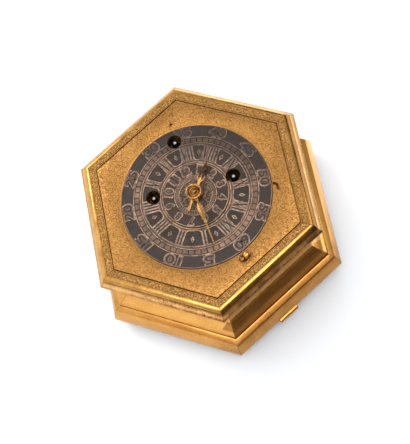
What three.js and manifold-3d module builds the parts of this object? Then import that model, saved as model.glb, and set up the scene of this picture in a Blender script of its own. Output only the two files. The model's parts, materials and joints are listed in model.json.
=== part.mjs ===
// Hexagonal table clock of gilt brass, about 1700, that lies flat with its dial upwards.
// Millimetres, +Z up, XII of the dial towards +Y. The origin is on the table, under the middle of the clock.
// The case is three mitred mouldings over a hinged bottom cover; the movement hangs under the dial plate:
// a fusee and verge going train, a count wheel striking train and an alarm, each wound through the dial.
import * as THREE from 'three';
import { mergeVertices } from 'three/addons/utils/BufferGeometryUtils.js';
import Module from 'manifold-3d';

const wasm = await Module();
wasm.setup();

// Case: heights above the table
const footHeight = 5;
const coverThickness = 2;
const caseHeight = 48;
const topMouldingHeight = 7.5;
const baseMouldingHeight = 8;
const coverTop = footHeight + coverThickness;
const plateFace = coverTop + caseHeight;
const wallTop = plateFace - topMouldingHeight;
const wallBottom = coverTop + baseMouldingHeight;

// Case: distances from the middle to the flat sides
const plateApothem = 43.3;
const plateGroove = 0.3;
const borderWidth = 3.5;
const ovoloWidth = 2.4;
const ovoloDrop = 2.9;
const quirkDepth = 0.4;
const ledgeReach = 8.65;
const fasciaApothem = plateApothem + ledgeReach;
const fasciaHeight = 2.3;
const ledgeWidth = 2.1;
const seatWidth = 2.3;
const seatThickness = 1.5;
const arrisChamfer = 0.3;
const waistOverhang = 0.9;
const wallApothem = plateApothem + waistOverhang;
const wallThickness = 1.6;
const neckWidth = 1.8;
const neckHeight = 3;
const cavettoRadius = 7;
const cavettoSteps = 7;
const neckFromAngle = 110;
const wallFillet = 0.5;
const baseStepWidth = 0.8;
const baseStepHeight = 1.1;
const baseOvoloWidth = 2.4;
const torusRadius = 1.5;
const baseApothem = 56.4;
const baseBandWidth = 7.9;
const baseInnerApothem = baseApothem - baseBandWidth;

// Bottom cover, its hinge, its catch and its feet
const coverInset = 0.6;
const coverEdgeRadius = 0.8;
const lipWidth = 1.3;
const lipHeight = 1.4;
const lipClearance = 0.4;
const hingeOffset = 0.1;
const hingeMiddle = 2.4;
const hingeWidth = 10.7;
const knuckleRadius = 1.5;
const knuckleGap = 0.15;
const hingePinRadius = 0.6;
const pinClearance = 0.05;
const swingClearance = 0.3;
const catchWidth = 7;
const catchReach = 0.6;
const catchHeight = 2;
const footRadius = 4.8;
const footInset = 6.4;
const footCircle = baseApothem - footInset;

// Dial
const dialPlateThickness = 1.8;
const dialRadius = 35;
const dialGap = 0.15;
const dialThickness = 1.1;
const dialSink = 0.6;
const alarmDiscRadius = 15.6;
const alarmDiscGap = 0.3;
const alarmDiscRise = 0.3;
const alarmBossRadius = 3.4;
const alarmBossHeight = 0.8;
const windingHoleRadius = 3.4;
const windingHoleCentres = { going: [-18.55, 5.05], strike: [14.7, -13.2], alarm: [-10.3, -27.2] };
const windingSquare = 2.6;
const windingSquareTopBelowFace = 0.6;
const pinHoleRadius = 0.6;
const pinHoleCentres = [[-15.05, -35.45], [32.7, 32.2]];
const dialFootRadius = 1.5;
const dialFootCircle = 34;
const dialFootAngles = [20, 180, 300];
const tongueWidth = 8;
const tongueThickness = 1.2;

// Hands
const hourHandRise = 1.9;
const minuteHandRise = 3.9;
const handThickness = 0.8;
const minuteHandLength = 28.3;
const hourHandLength = 16.3;
const tailLength = 9;
const leafUnit = 1;
const scrollUnit = 1;
const scrollOpenAngle = 320;
const minuteHandAngle = 68.3;
const hourHandAngle = -151;
const hourPipeRadius = 2.1;
const hourPipeWall = 0.5;
const cannonRadius = 1.5;
const colletRadius = 3.5;
const colletHeight = 1.6;

// Catch knob and silence lever
const knobCentre = [4, 38.2];
const knobLength = 5.4;
const knobWidth = 3.8;
const knobHeight = 3.2;
const knobStemRadius = 1.1;
const boltWidth = 2.4;
const boltThickness = 1.2;
const boltDrop = 1.9;
const boltEndGap = 0.7;
const leverPinCentre = [-28.8, 24.4];
const leverPivotCentre = [-21, 16.9];
const leverWidth = 2.4;
const leverThickness = 1;
const leverPinRadius = 0.65;
const leverPinHeight = 6.6;
const leverHookReach = 1.6;
const leverStudRadius = 0.9;
const leverTravel = 12;
const leverEyeShare = 0.8;
const leverEyeAngle = 60;
const leverPinSteps = 8;
const slotClearance = 0.25;

// Movement frame
const movementPlateRadius = 38;
const movementPlateThickness = 1.6;
const underDialSpace = 6;
const pillarLength = 19.6;
const pillarRadius = 2.2;
const pillarCircle = 35;
const pillarAngles = [47, 131, 225, 345];
const frontTop = plateFace - dialPlateThickness - underDialSpace;
const frontBottom = frontTop - movementPlateThickness;
const backTop = frontBottom - pillarLength;
const backBottom = backTop - movementPlateThickness;

// Wheels: tooth heights as shares of the module
const addendumShare = 0.85;
const dedendumShare = 1.05;
const wheelThickness = 0.8;
const greatWheelThickness = 1.2;
const arborRadius = 0.8;
const pivotRadius = 0.5;
const pivotClearance = 0.1;
const pivotProud = 0.2;
const shoulderGap = 0.3;
const pinionLength = 2.2;
const boreClearance = 0.05;
const windingArborRadius = 1.6;

// Going train
const goingGreatTeeth = 36;
const centrePinionLeaves = 6;
const centreTeeth = 30;
const centreModule = 0.7;
const trainPinionLeaves = 6;
const thirdTeeth = 24;
const thirdModule = 0.69;
const thirdAngle = 75;
const contrateTeeth = 20;
const contratePitchRadius = 5.5;
const contrateRimWidth = 1.2;
const contrateAngle = 60;
const crownPinionLeaves = 6;
const crownTeeth = 11;
const crownRadius = 3.8;
const crownRimWidth = 0.6;
const crownAngle = -20;
const vergeDistance = 14;
const crownPinionFrom = 4.6;
const crownPinionTo = 6.4;
const crownWebFrom = 8.8;
const crownTips = 11.6;
const crownToothDepth = 1.6;
const crownArborFrom = 2.4;
const crownArborTo = 12.8;
const counterPotenceFrom = 2.2;
const counterPotenceTo = 3.4;
const potenceNoseFrom = 12.1;
const potencePostFrom = 16.6;
const potencePostTo = 18.6;
const potenceHalfWidth = 1.3;
const potenceHalfHeight = 1;
const crownArborRadius = 0.5;
const barrelCentre = [-10, 25];
const barrelRadius = 8.6;
const barrelLength = 13;
const fuseeWideRadius = 8.4;
const fuseeNarrowRadius = 4.6;
const fuseeGroove = 0.7;
const fuseeTurns = 5;
const chainWidth = 1;
const chainThickness = 0.6;
const chainGap = 0.3;
const barrelWrap = 280;
const fuseeWrap = 150;
const goingWheelDrop = 1;
const thirdWheelDrop = 5;
const contrateDrop = 9.2;
const centreWheelRise = 1.4;

// Balance
const balanceRadius = 9;
const balanceRimWidth = 1.1;
const balanceThickness = 1.2;
const balanceDrop = 3.2;
const cockDrop = 6.8;
const cockThickness = 1.2;
const cockTableRadius = 6;
const cockFootDistance = 12.6;
const cockFootAngle = 130;
const cockFootRadius = 2.6;
const cockScrewRadius = 1.7;
const vergeRadius = 0.5;
const palletLength = 2.1;
const palletHeight = 1.2;
const palletThickness = 0.4;
const palletAngle = 50;

// Motion work
const minuteArborAngle = 90;
const cannonTeeth = 10;
const minuteWheelTeeth = 30;
const minutePinionLeaves = 8;
const hourWheelTeeth = 32;
const motionModule = 0.48;
const studRadius = 0.8;

// Striking train
const strikeGreatTeeth = 36;
const pinWheelTeeth = 30;
const strikeDistance = 16;
const strikeAngle = 217;
const pinWheelRadius = 7;
const pinCircle = 5.6;
const pinCount = 6;
const pinRadius = 0.4;
const pinLength = 1.4;
const pinWheelDrop = 7;
const warningTeeth = 24;
const warningRadius = 4.8;
const warningAngle = 110;
const warningDrop = 11;
const flyAngle = 190;
const flyRadius = 4.2;
const flyHeight = 4.2;
const flyThickness = 0.5;
const strikeBarrelRadius = 8.2;
const countTeeth = 30;
const countPinionLeaves = 7;
const countDistance = 12.16;
const countAngle = -5.7;
const countNotchDepth = 1.3;
const countPinionRise = 0.4;
const countDiscRadius = 8.6;
const countDiscThickness = 1.2;
const countDrop = 0.8;
const countNotchHalf = 0.4;
const strikesInTwelveHours = 78;
const hoursOnCountWheel = 12;
const hammerArborCentre = [-3.5, -29.8];
const hammerHeadRadius = 1.6;
const hammerDipShare = 0.278;
const hammerRise = 0.9;
const hammerDrop = 1;
const hammerArmThickness = 1.2;
const hammerArmWidth = 1.8;
const hammerClearance = 0.4;
const hammerHeadAngle = -38;

// Alarm
const alarmBarrelRadius = 5.2;
const alarmBarrelLength = 11;
const alarmWheelRadius = 5.8;
const alarmWheelTeeth = 13;
const alarmArborCentre = [-17, -30];
const alarmHeadInset = 3.1;
const alarmHeadAngle = -110;
const alarmPalletReach = 1.2;
const alarmPalletAngle = 45;

// Bell
const bellCentre = [-13, -10];
const bellRadius = 19;
const bellWall = 1;
const bellFloorRadius = 8;
const bellLiftShare = 0.2174;
const bellPostRadius = 1.5;
const bellShoulderRadius = 2.4;
const bellNutRadius = 3;
const bellNutShare = 0.6;

// Facets and overruns
const over = 1;
const roundSteps = 16;
const fineSteps = 36;
const smallSteps = 6;
const arborSteps = 6;
const arcSteps = 5;
const rimSteps = 2;
const drumSteps = 12;
const shaftSteps = 8;
const pinSteps = 5;
const mergeDistance = 1e-4;
const degreesRound = 360;
const halfRound = degreesRound / 2;
const quarterRound = degreesRound / 4;
const hexSides = 6;
const hexTurn = Math.PI / hexSides;
const cornerShare = 1 / Math.cos(hexTurn);

// Turns a closed geometry into a solid that can be joined and cut
function toSolid(geometry) {
  const plain = geometry.clone();
  plain.deleteAttribute('normal');
  plain.deleteAttribute('uv');
  const merged = mergeVertices(plain, mergeDistance);
  const points = merged.getAttribute('position').array;
  const corners = merged.getIndex().array;
  const kept = [];
  let volume = 0;
  const [a, b, c] = [new THREE.Vector3(), new THREE.Vector3(), new THREE.Vector3()];
  for (let i = 0; i < corners.length; i += 3) {
    const [p, q, r] = [corners[i], corners[i + 1], corners[i + 2]];
    if (p === q || q === r || r === p) continue;
    kept.push(p, q, r);
    a.fromArray(points, p * 3);
    b.fromArray(points, q * 3);
    c.fromArray(points, r * 3);
    volume += a.dot(b.cross(c));
  }
  if (volume < 0) kept.reverse();
  const mesh = new wasm.Mesh({
    numProp: 3,
    vertProperties: new Float32Array(points),
    triVerts: new Uint32Array(kept),
  });
  return new wasm.Manifold(mesh);
}

// Gives a solid back as a geometry
function toGeometry(solid) {
  const mesh = solid.getMesh();
  const geometry = new THREE.BufferGeometry();
  geometry.setAttribute('position', new THREE.BufferAttribute(new Float32Array(mesh.vertProperties), 3));
  geometry.setIndex(new THREE.BufferAttribute(new Uint32Array(mesh.triVerts), 1));
  geometry.computeVertexNormals();
  return geometry;
}

// Turned piece: a closed profile of [radius, height] pairs, spun about the Z axis
function turned(profile, steps = roundSteps, start = 0) {
  const points = profile.map(([radius, height]) => new THREE.Vector2(radius, height));
  const geometry = new THREE.LatheGeometry(points, steps, start);
  geometry.rotateX(Math.PI / 2);
  return toSolid(geometry);
}

// Mitred hexagonal frame: the profile is given by distances to the flat sides, and closes on itself
function mitred(profile) {
  const corners = profile.map(([apothem, height]) => [apothem * cornerShare, height]);
  corners.push(corners[0]);
  return turned(corners, hexSides, hexTurn);
}

// Round bar along Z from one height to another
function bar(radius, low, high, steps = roundSteps, x = 0, y = 0) {
  const geometry = new THREE.CylinderGeometry(radius, radius, high - low, steps);
  geometry.rotateX(Math.PI / 2);
  geometry.translate(x, y, (low + high) / 2);
  return toSolid(geometry);
}

// Box between two corners
function block(low, high) {
  const size = high.map((value, i) => value - low[i]);
  const geometry = new THREE.BoxGeometry(...size);
  geometry.translate(...low.map((value, i) => value + size[i] / 2));
  return toSolid(geometry);
}

// Flat plate cut from an outline, from one height to another
function plate(shape, low, high, curveSegments = 12) {
  const geometry = new THREE.ExtrudeGeometry(shape, {
    depth: high - low, bevelEnabled: false, steps: 1, curveSegments,
  });
  geometry.translate(0, 0, low);
  return toSolid(geometry);
}

// Outline through points given as [x, y]
function outline(points) {
  return new THREE.Shape(points.map(([x, y]) => new THREE.Vector2(x, y)));
}

// Points of a round stretch about a centre, in degrees
function arc([x, y], radius, from, to, steps = arcSteps) {
  const points = [];
  for (let i = 0; i <= steps; i++) {
    const angle = THREE.MathUtils.degToRad(from + (to - from) * i / steps);
    points.push([x + radius * Math.cos(angle), y + radius * Math.sin(angle)]);
  }
  return points;
}

// Place at a distance and a direction, in degrees, from another place
function away([x, y], distance, direction) {
  const angle = THREE.MathUtils.degToRad(direction);
  return [x + distance * Math.cos(angle), y + distance * Math.sin(angle)];
}

function distanceOf([ax, ay], [bx, by]) {
  return Math.hypot(bx - ax, by - ay);
}

function directionOf([ax, ay], [bx, by]) {
  return Math.atan2(by - ay, bx - ax);
}

// Radius of a bore whose flats clear a round bar of the same steps
function boreFor(radius, clearance, steps) {
  return (radius + clearance) / Math.cos(Math.PI / steps);
}

// Outline of a toothed wheel with pointed teeth, one of them along +X
function toothedOutline(teeth, module) {
  const pitch = 2 * Math.PI / teeth;
  const tip = module * (teeth / 2 + addendumShare);
  const root = module * (teeth / 2 - dedendumShare);
  const points = [];
  for (let i = 0; i < teeth; i++) {
    const middle = i * pitch;
    points.push([tip * Math.cos(middle), tip * Math.sin(middle)]);
    points.push([root * Math.cos(middle + pitch / 2), root * Math.sin(middle + pitch / 2)]);
  }
  return outline(points);
}

// Openings between the spokes of a wheel
function addCrossings(shape, spokes, hubRadius, rimRadius, spokeWidth) {
  for (let i = 0; i < spokes; i++) {
    const middle = degreesRound * (i + 0.5) / spokes;
    const outerHalf = halfRound / spokes - THREE.MathUtils.radToDeg(spokeWidth / 2 / rimRadius);
    const innerHalf = halfRound / spokes - THREE.MathUtils.radToDeg(spokeWidth / 2 / hubRadius);
    const edge = arc([0, 0], rimRadius, middle - outerHalf, middle + outerHalf, rimSteps);
    const hub = arc([0, 0], hubRadius, middle + innerHalf, middle - innerHalf, 1);
    shape.holes.push(outline([...edge, ...hub]));
  }
  return shape;
}

// Crossed wheel with its teeth, from one height to another
function crossedWheel(teeth, module, low, high, spokes = 3) {
  const root = module * (teeth / 2 - dedendumShare);
  const shape = toothedOutline(teeth, module);
  const rimShare = 0.84;
  const hubShare = 0.3;
  const spokeShare = 0.13;
  addCrossings(shape, spokes, root * hubShare, root * rimShare, root * spokeShare);
  return plate(shape, low, high);
}

// Plain arbor with a thinner pivot at each end, between two heights at the pivots' tips
function arbor(radius, low, high, pivotLength) {
  return turned([
    [0, low], [pivotRadius, low], [pivotRadius, low + pivotLength], [radius, low + pivotLength],
    [radius, high - pivotLength], [pivotRadius, high - pivotLength], [pivotRadius, high], [0, high],
  ], arborSteps);
}

// Arbor that runs in both movement plates
function trainArbor(radius = arborRadius) {
  const reach = movementPlateThickness + pivotProud;
  return arbor(radius, backTop - reach, frontBottom + reach, reach + shoulderGap);
}

// Turn of a wheel that puts a gap on the line to the wheel that drives it
function meshTurn(driverTeeth, driverTurn, direction, teeth) {
  const aligned = direction + Math.PI + Math.PI / teeth;
  return aligned - (driverTurn - direction) * driverTeeth / teeth;
}

// Places of the arbors
const middle = [0, 0];
const fuseePlace = windingHoleCentres.going;
const strikePlace = windingHoleCentres.strike;
const alarmPlace = windingHoleCentres.alarm;
const thirdPlace = away(middle, centreModule * (centreTeeth + trainPinionLeaves) / 2, thirdAngle);
const contratePlace = away(thirdPlace, thirdModule * (thirdTeeth + trainPinionLeaves) / 2, contrateAngle);
const vergePlace = away(contratePlace, vergeDistance, crownAngle);
const pinWheelPlace = away(strikePlace, strikeDistance, strikeAngle);
const pinWheelModule = 2 * pinWheelRadius / pinWheelTeeth;
const warningPlace = away(
  pinWheelPlace, pinWheelModule * (pinWheelTeeth + trainPinionLeaves) / 2, warningAngle);
const warningModule = 2 * warningRadius / warningTeeth;
const flyPlace = away(warningPlace, warningModule * (warningTeeth + trainPinionLeaves) / 2, flyAngle);
const countPlace = away(pinWheelPlace, countDistance, countAngle);
const minuteArborPlace = away(middle, motionModule * (cannonTeeth + minuteWheelTeeth) / 2, minuteArborAngle);
const cockFootPlace = away(vergePlace, cockFootDistance, cockFootAngle);

// Modules that follow from a distance between arbors
const goingModule = 2 * distanceOf(fuseePlace, middle) / (goingGreatTeeth + centrePinionLeaves);
const strikeModule = 2 * strikeDistance / (strikeGreatTeeth + trainPinionLeaves);
const countModule = 2 * countDistance / (countTeeth + countPinionLeaves);
const hourModule = motionModule * (cannonTeeth + minuteWheelTeeth) / (minutePinionLeaves + hourWheelTeeth);
const contrateModule = 2 * contratePitchRadius / contrateTeeth;

// Turns that put the wheels in mesh
const centreTurn = meshTurn(goingGreatTeeth, 0, directionOf(fuseePlace, middle), centrePinionLeaves);
const thirdTurn = meshTurn(centreTeeth, centreTurn, directionOf(middle, thirdPlace), trainPinionLeaves);
const contrateTurn = meshTurn(
  thirdTeeth, thirdTurn, directionOf(thirdPlace, contratePlace), trainPinionLeaves);
const pinWheelTurn = meshTurn(
  strikeGreatTeeth, 0, directionOf(strikePlace, pinWheelPlace), trainPinionLeaves);
const warningTurn = meshTurn(
  pinWheelTeeth, pinWheelTurn, directionOf(pinWheelPlace, warningPlace), trainPinionLeaves);
const flyTurn = meshTurn(warningTeeth, warningTurn, directionOf(warningPlace, flyPlace), trainPinionLeaves);
const countTurn = meshTurn(countPinionLeaves, pinWheelTurn, directionOf(pinWheelPlace, countPlace), countTeeth);
const minuteTurn = meshTurn(cannonTeeth, centreTurn, directionOf(middle, minuteArborPlace), minuteWheelTeeth);
const hourTurn = meshTurn(
  minutePinionLeaves, minuteTurn, directionOf(minuteArborPlace, middle), hourWheelTeeth);

// Levels inside the movement
const goingWheelTop = frontBottom - goingWheelDrop;
const goingWheelBottom = goingWheelTop - greatWheelThickness;
const strikeWheelTop = goingWheelTop - swingClearance;
const strikeWheelBottom = strikeWheelTop - greatWheelThickness;
const centreWheelBottom = backTop + centreWheelRise;
const thirdWheelBottom = frontBottom - thirdWheelDrop - wheelThickness;
const contrateTop = frontBottom - contrateDrop;
const crownAxis = contrateTop - 2 * wheelThickness - contrateModule * (dedendumShare + crownPinionLeaves / 2);
const windingSquareTop = plateFace - windingSquareTopBelowFace;
const countTop = backBottom - countDrop;
const countLow = countTop - wheelThickness - countDiscThickness;
const pinWheelBottom = frontBottom - pinWheelDrop - wheelThickness;
const warningBottom = frontBottom - warningDrop - wheelThickness;
const hammerArmHigh = countLow - hammerDrop;
const hammerArmLow = hammerArmHigh - hammerArmThickness;
const bellTop = hammerArmLow - hammerRise;
const bellLow = coverTop + (bellTop - coverTop) * bellLiftShare;
const bellHeight = bellTop - bellLow;
const bellNutHeight = (bellLow - coverTop) * bellNutShare;
const hammerHeadLow = bellTop - bellHeight * hammerDipShare;

// Materials, from the photograph
function finish(colour, roughness, metalness) {
  return () => new THREE.MeshStandardMaterial({ color: colour, roughness, metalness });
}
const gilt = finish(0xc6944f, 0.38, 0.9);
const polishedGilt = finish(0xdba64f, 0.25, 0.95);
const silver = finish(0x5d5450, 0.55, 0.6);
const handGilt = finish(0xbe7d41, 0.35, 0.9);
const brass = finish(0xb98b45, 0.4, 0.9);
const steel = finish(0x6d6f73, 0.35, 0.9);
const bellMetal = finish(0xa98a55, 0.35, 0.9);

const clock = new THREE.Group();

// Adds a named piece, at a place and a turn about Z
function add(name, solid, material, [x, y, z] = [0, 0, 0], turn = 0, parent = clock) {
  const mesh = new THREE.Mesh(toGeometry(solid), material());
  mesh.name = name;
  mesh.position.set(x, y, z);
  mesh.rotation.z = turn;
  parent.add(mesh);
  return mesh;
}

// Top moulding: six mitred lengths with the engraved border, the ovolo, the worn ledge, the fascia and the
// seat for the dial plate
function topMoulding() {
  const inner = plateApothem + plateGroove;
  const ovoloStart = inner + borderWidth;
  const ovoloEnd = ovoloStart + ovoloWidth;
  const fasciaTop = wallTop + fasciaHeight;
  const ovolo = [];
  for (let i = 0; i <= arcSteps; i++) {
    const angle = Math.PI / 2 * i / arcSteps;
    ovolo.push([ovoloStart + ovoloWidth * Math.sin(angle), plateFace - ovoloDrop * (1 - Math.cos(angle))]);
  }
  const seatTop = plateFace - dialPlateThickness;
  return mitred([
    [inner, plateFace],
    ...ovolo,
    [ovoloEnd - quirkDepth / 2, plateFace - ovoloDrop - quirkDepth],
    [fasciaApothem - ledgeWidth, plateFace - ovoloDrop - quirkDepth - quirkDepth / 2],
    [fasciaApothem - ledgeWidth / 3, fasciaTop + arrisChamfer * 2],
    [fasciaApothem, fasciaTop],
    [fasciaApothem, wallTop + arrisChamfer],
    [fasciaApothem - arrisChamfer, wallTop],
    [inner, wallTop],
    [inner, seatTop - seatThickness],
    [inner - seatWidth, seatTop - seatThickness],
    [inner - seatWidth, seatTop],
    [inner, seatTop],
  ]);
}

// Case wall: straight waist under a small neck, swept outward below as a cavetto
function caseWall() {
  const centre = [wallApothem + cavettoRadius, wallBottom + wallFillet + cavettoRadius];
  const innerRadius = cavettoRadius + wallThickness;
  const innerEnd = halfRound
    + THREE.MathUtils.radToDeg(Math.asin((cavettoRadius + wallFillet) / innerRadius));
  const neckCentre = [wallApothem + neckWidth, wallTop - arrisChamfer * 2 - neckHeight];
  return mitred([
    [wallApothem - wallThickness, wallTop],
    [wallApothem + neckWidth, wallTop],
    [wallApothem + neckWidth, wallTop - arrisChamfer * 2],
    ...arc(neckCentre, neckWidth, neckFromAngle, halfRound, rimSteps + 1),
    ...arc(centre, cavettoRadius, halfRound, halfRound + quarterRound, cavettoSteps),
    [centre[0], wallBottom],
    ...arc(centre, innerRadius, innerEnd, halfRound, arcSteps),
  ]);
}

// Base moulding: step, ovolo, quirk and torus, with the outer knuckles of the cover's hinge
function baseMoulding() {
  const stepApothem = wallApothem + cavettoRadius + baseStepWidth;
  const torusCentre = [baseApothem - torusRadius, coverTop + torusRadius];
  const ovoloTop = wallBottom - baseStepHeight;
  const ovoloBottom = coverTop + 2 * torusRadius + quirkDepth;
  const ovoloStart = stepApothem + quirkDepth;
  const ovolo = [];
  for (let i = 0; i <= arcSteps; i++) {
    const angle = Math.PI / 2 * i / arcSteps;
    ovolo.push([
      ovoloStart + baseOvoloWidth * Math.sin(angle),
      ovoloTop - (ovoloTop - ovoloBottom) * (1 - Math.cos(angle)),
    ]);
  }
  const frame = mitred([
    [baseInnerApothem, wallBottom],
    [stepApothem, wallBottom],
    [stepApothem + quirkDepth / 2, wallBottom - quirkDepth],
    [stepApothem + quirkDepth / 2, ovoloTop],
    ...ovolo,
    ...arc(torusCentre, torusRadius, quarterRound, -quarterRound, arcSteps + 1),
    [baseInnerApothem, coverTop],
  ]);
  const half = hingeWidth / 2;
  const third = hingeWidth / 6;
  const outer = knuckle(-half, -third - knuckleGap).add(knuckle(third + knuckleGap, half));
  return frame.add(outer).subtract(knuckleRoom(-third - knuckleGap, third + knuckleGap)).subtract(hingeBore());
}

// Hinge: a barrel along X at the joint between the base and the cover
const hingeY = baseApothem + hingeOffset;
function alongX(radius, from, to, steps) {
  const geometry = new THREE.CylinderGeometry(radius, radius, to - from, steps);
  geometry.rotateZ(Math.PI / 2);
  geometry.translate(hingeMiddle + (from + to) / 2, hingeY, coverTop);
  return toSolid(geometry);
}
function knuckle(from, to) {
  return alongX(knuckleRadius, from, to, roundSteps / 2);
}
function knuckleRoom(from, to) {
  return alongX(knuckleRadius + swingClearance, from, to, roundSteps / 2);
}
function hingeBore() {
  const reach = hingeWidth / 2 + over;
  return alongX(boreFor(hingePinRadius, pinClearance, smallSteps), -reach, reach, smallSteps);
}
function hingePin() {
  return alongX(hingePinRadius, -hingeWidth / 2 - swingClearance, hingeWidth / 2 + swingClearance, smallSteps);
}

// Bottom cover: a plate with a rounded edge, a lip that registers in the base and the middle knuckle
function bottomCover() {
  const edge = baseApothem - coverInset;
  const lipOuter = baseInnerApothem - lipClearance;
  const lipInner = lipOuter - lipWidth;
  const sheet = turned([
    [0, footHeight],
    [(edge - coverEdgeRadius) * cornerShare, footHeight],
    [edge * cornerShare, footHeight + coverEdgeRadius],
    [edge * cornerShare, coverTop],
    [0, coverTop],
  ], hexSides, hexTurn);
  const lip = mitred([
    [lipInner, coverTop - coverEdgeRadius], [lipOuter, coverTop - coverEdgeRadius],
    [lipOuter, coverTop + lipHeight], [lipInner, coverTop + lipHeight],
  ]);
  const half = hingeWidth / 2;
  const third = hingeWidth / 6;
  const end = half + swingClearance * 2;
  const room = knuckleRoom(-end, -third).add(knuckleRoom(third, end));
  return sheet.add(lip).subtract(room).add(knuckle(-third, third)).subtract(hingeBore());
}

// Spring catch of the cover: a tongue behind the lip at the VI side, on a bridge from the base
function coverCatch() {
  const wall = -baseInnerApothem;
  const lipInner = baseInnerApothem - lipClearance - lipWidth;
  const tongueBack = -lipInner + swingClearance;
  const bridgeLow = coverTop + lipHeight + swingClearance;
  const half = catchWidth / 2;
  const bridge = block([-half, wall, bridgeLow], [half, tongueBack + catchReach, bridgeLow + catchHeight]);
  const tongue = block([-half, tongueBack, coverTop + swingClearance],
    [half, tongueBack + catchReach, bridgeLow + catchReach]);
  return bridge.add(tongue);
}

// Turned bun foot
function foot() {
  const neckShare = 0.55;
  const soleShare = 0.5;
  const bulgeHeight = footHeight * 0.45;
  return turned([
    [0, 0], [footRadius * soleShare, 0], [footRadius * 0.9, bulgeHeight * 0.45], [footRadius, bulgeHeight],
    [footRadius * 0.88, bulgeHeight * 1.5], [footRadius * neckShare, footHeight * 0.84],
    [footRadius * neckShare, footHeight], [0, footHeight],
  ], shaftSteps);
}

// Dial plate: hexagonal, with the sinking for the chapter disc, the winding holes, the slot of the silence
// lever, the feet that carry the movement and the tongue that hooks under the seat at the VI side
function dialPlate() {
  const bottom = plateFace - dialPlateThickness;
  const sinkFloor = plateFace - dialSink;
  const sheet = turned([
    [0, bottom],
    [plateApothem * cornerShare, bottom],
    [plateApothem * cornerShare, plateFace],
    [0, plateFace],
  ], hexSides, hexTurn);
  let solid = sheet.subtract(bar(dialRadius + dialGap, sinkFloor, plateFace + over, fineSteps));
  for (const angle of dialFootAngles) {
    const [x, y] = away(middle, dialFootCircle, angle);
    solid = solid.add(bar(dialFootRadius, frontTop, bottom + dialSink / 2, smallSteps, x, y));
  }
  const hookTop = bottom - seatThickness - swingClearance;
  const seatEdge = plateApothem + plateGroove - seatWidth;
  const back = -seatEdge + swingClearance;
  const half = tongueWidth / 2;
  solid = solid
    .add(block([-half, back, hookTop - tongueThickness],
      [half, back + tongueThickness, bottom + dialSink / 2]))
    .add(block([-half, -plateApothem, hookTop - tongueThickness], [half, back + tongueThickness, hookTop]));
  const holes = [
    ...Object.values(windingHoleCentres).map((centre) => [centre, windingHoleRadius, roundSteps]),
    ...pinHoleCentres.map((centre) => [centre, pinHoleRadius, smallSteps]),
    [middle, hourPipeRadius + pivotClearance * 2, roundSteps],
    [knobCentre, boreFor(knobStemRadius, pivotClearance, roundSteps / 2), roundSteps / 2],
  ];
  for (const [[x, y], radius, steps] of holes) {
    solid = solid.subtract(bar(radius, frontTop, plateFace + over, steps, x, y));
  }
  return solid.subtract(leverSlot(bottom - over, plateFace + over));
}

// Slot that the silence lever's pin travels in
function leverSlot(low, high) {
  const reach = distanceOf(leverPivotCentre, leverPinCentre);
  const start = THREE.MathUtils.radToDeg(directionOf(leverPivotCentre, leverPinCentre));
  const half = leverPinRadius + slotClearance;
  const spare = THREE.MathUtils.radToDeg(half / reach);
  const from = start - spare;
  const to = start + leverTravel + spare;
  return plate(outline([
    ...arc(leverPivotCentre, reach + half, from, to, 4),
    ...arc(leverPivotCentre, reach - half, to, from, 4),
  ]), low, high);
}

// Chapter disc: silvered, open in the middle for the alarm disc, with the three winding holes
function chapterDisc() {
  const low = plateFace - dialSink;
  const high = low + dialThickness;
  const inner = alarmDiscRadius + alarmDiscGap;
  let solid = turned([
    [inner, low], [dialRadius, low], [dialRadius, high], [inner, high], [inner, low],
  ], fineSteps);
  for (const [x, y] of Object.values(windingHoleCentres)) {
    solid = solid.subtract(bar(windingHoleRadius, low - over, high + over, roundSteps, x, y));
  }
  return solid;
}

// Alarm disc: turns about the hour pipe, with a small boss
function alarmDisc() {
  const low = plateFace - dialSink + alarmDiscGap;
  const high = plateFace - dialSink + dialThickness + alarmDiscRise;
  const bore = boreFor(hourPipeRadius, boreClearance, roundSteps);
  return turned([
    [bore, low], [alarmDiscRadius, low], [alarmDiscRadius, high], [alarmBossRadius, high],
    [alarmBossRadius, high + alarmBossHeight], [bore, high + alarmBossHeight], [bore, low],
  ], fineSteps / 2);
}

// Minute hand: round eye, narrow neck, lozenge leaf, collar and long pointer, drawn along +X
function minuteHand() {
  const low = plateFace + minuteHandRise;
  const leafShares = [[0.13, 0.6], [0.19, 0.42], [0.24, 1.1], [0.34, 1.45], [0.49, 0.75], [0.53, 0.5],
    [0.55, 0.85], [0.57, 0.45], [0.97, 0.22]];
  const half = [...leafShares.map(([along, side]) => [along * minuteHandLength, side * leafUnit])];
  const other = half.map(([x, y]) => [x, -y]).reverse();
  const eye = bar(colletRadius * 0.8, low, low + handThickness, roundSteps);
  const blade = plate(outline([[0, leafUnit], ...half, [minuteHandLength, 0], ...other, [0, -leafUnit]]),
    low, low + handThickness);
  const bore = boreFor(cannonRadius, boreClearance, shaftSteps);
  return eye.add(blade).subtract(bar(bore, low - over, low + over * 2, shaftSteps));
}

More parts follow.
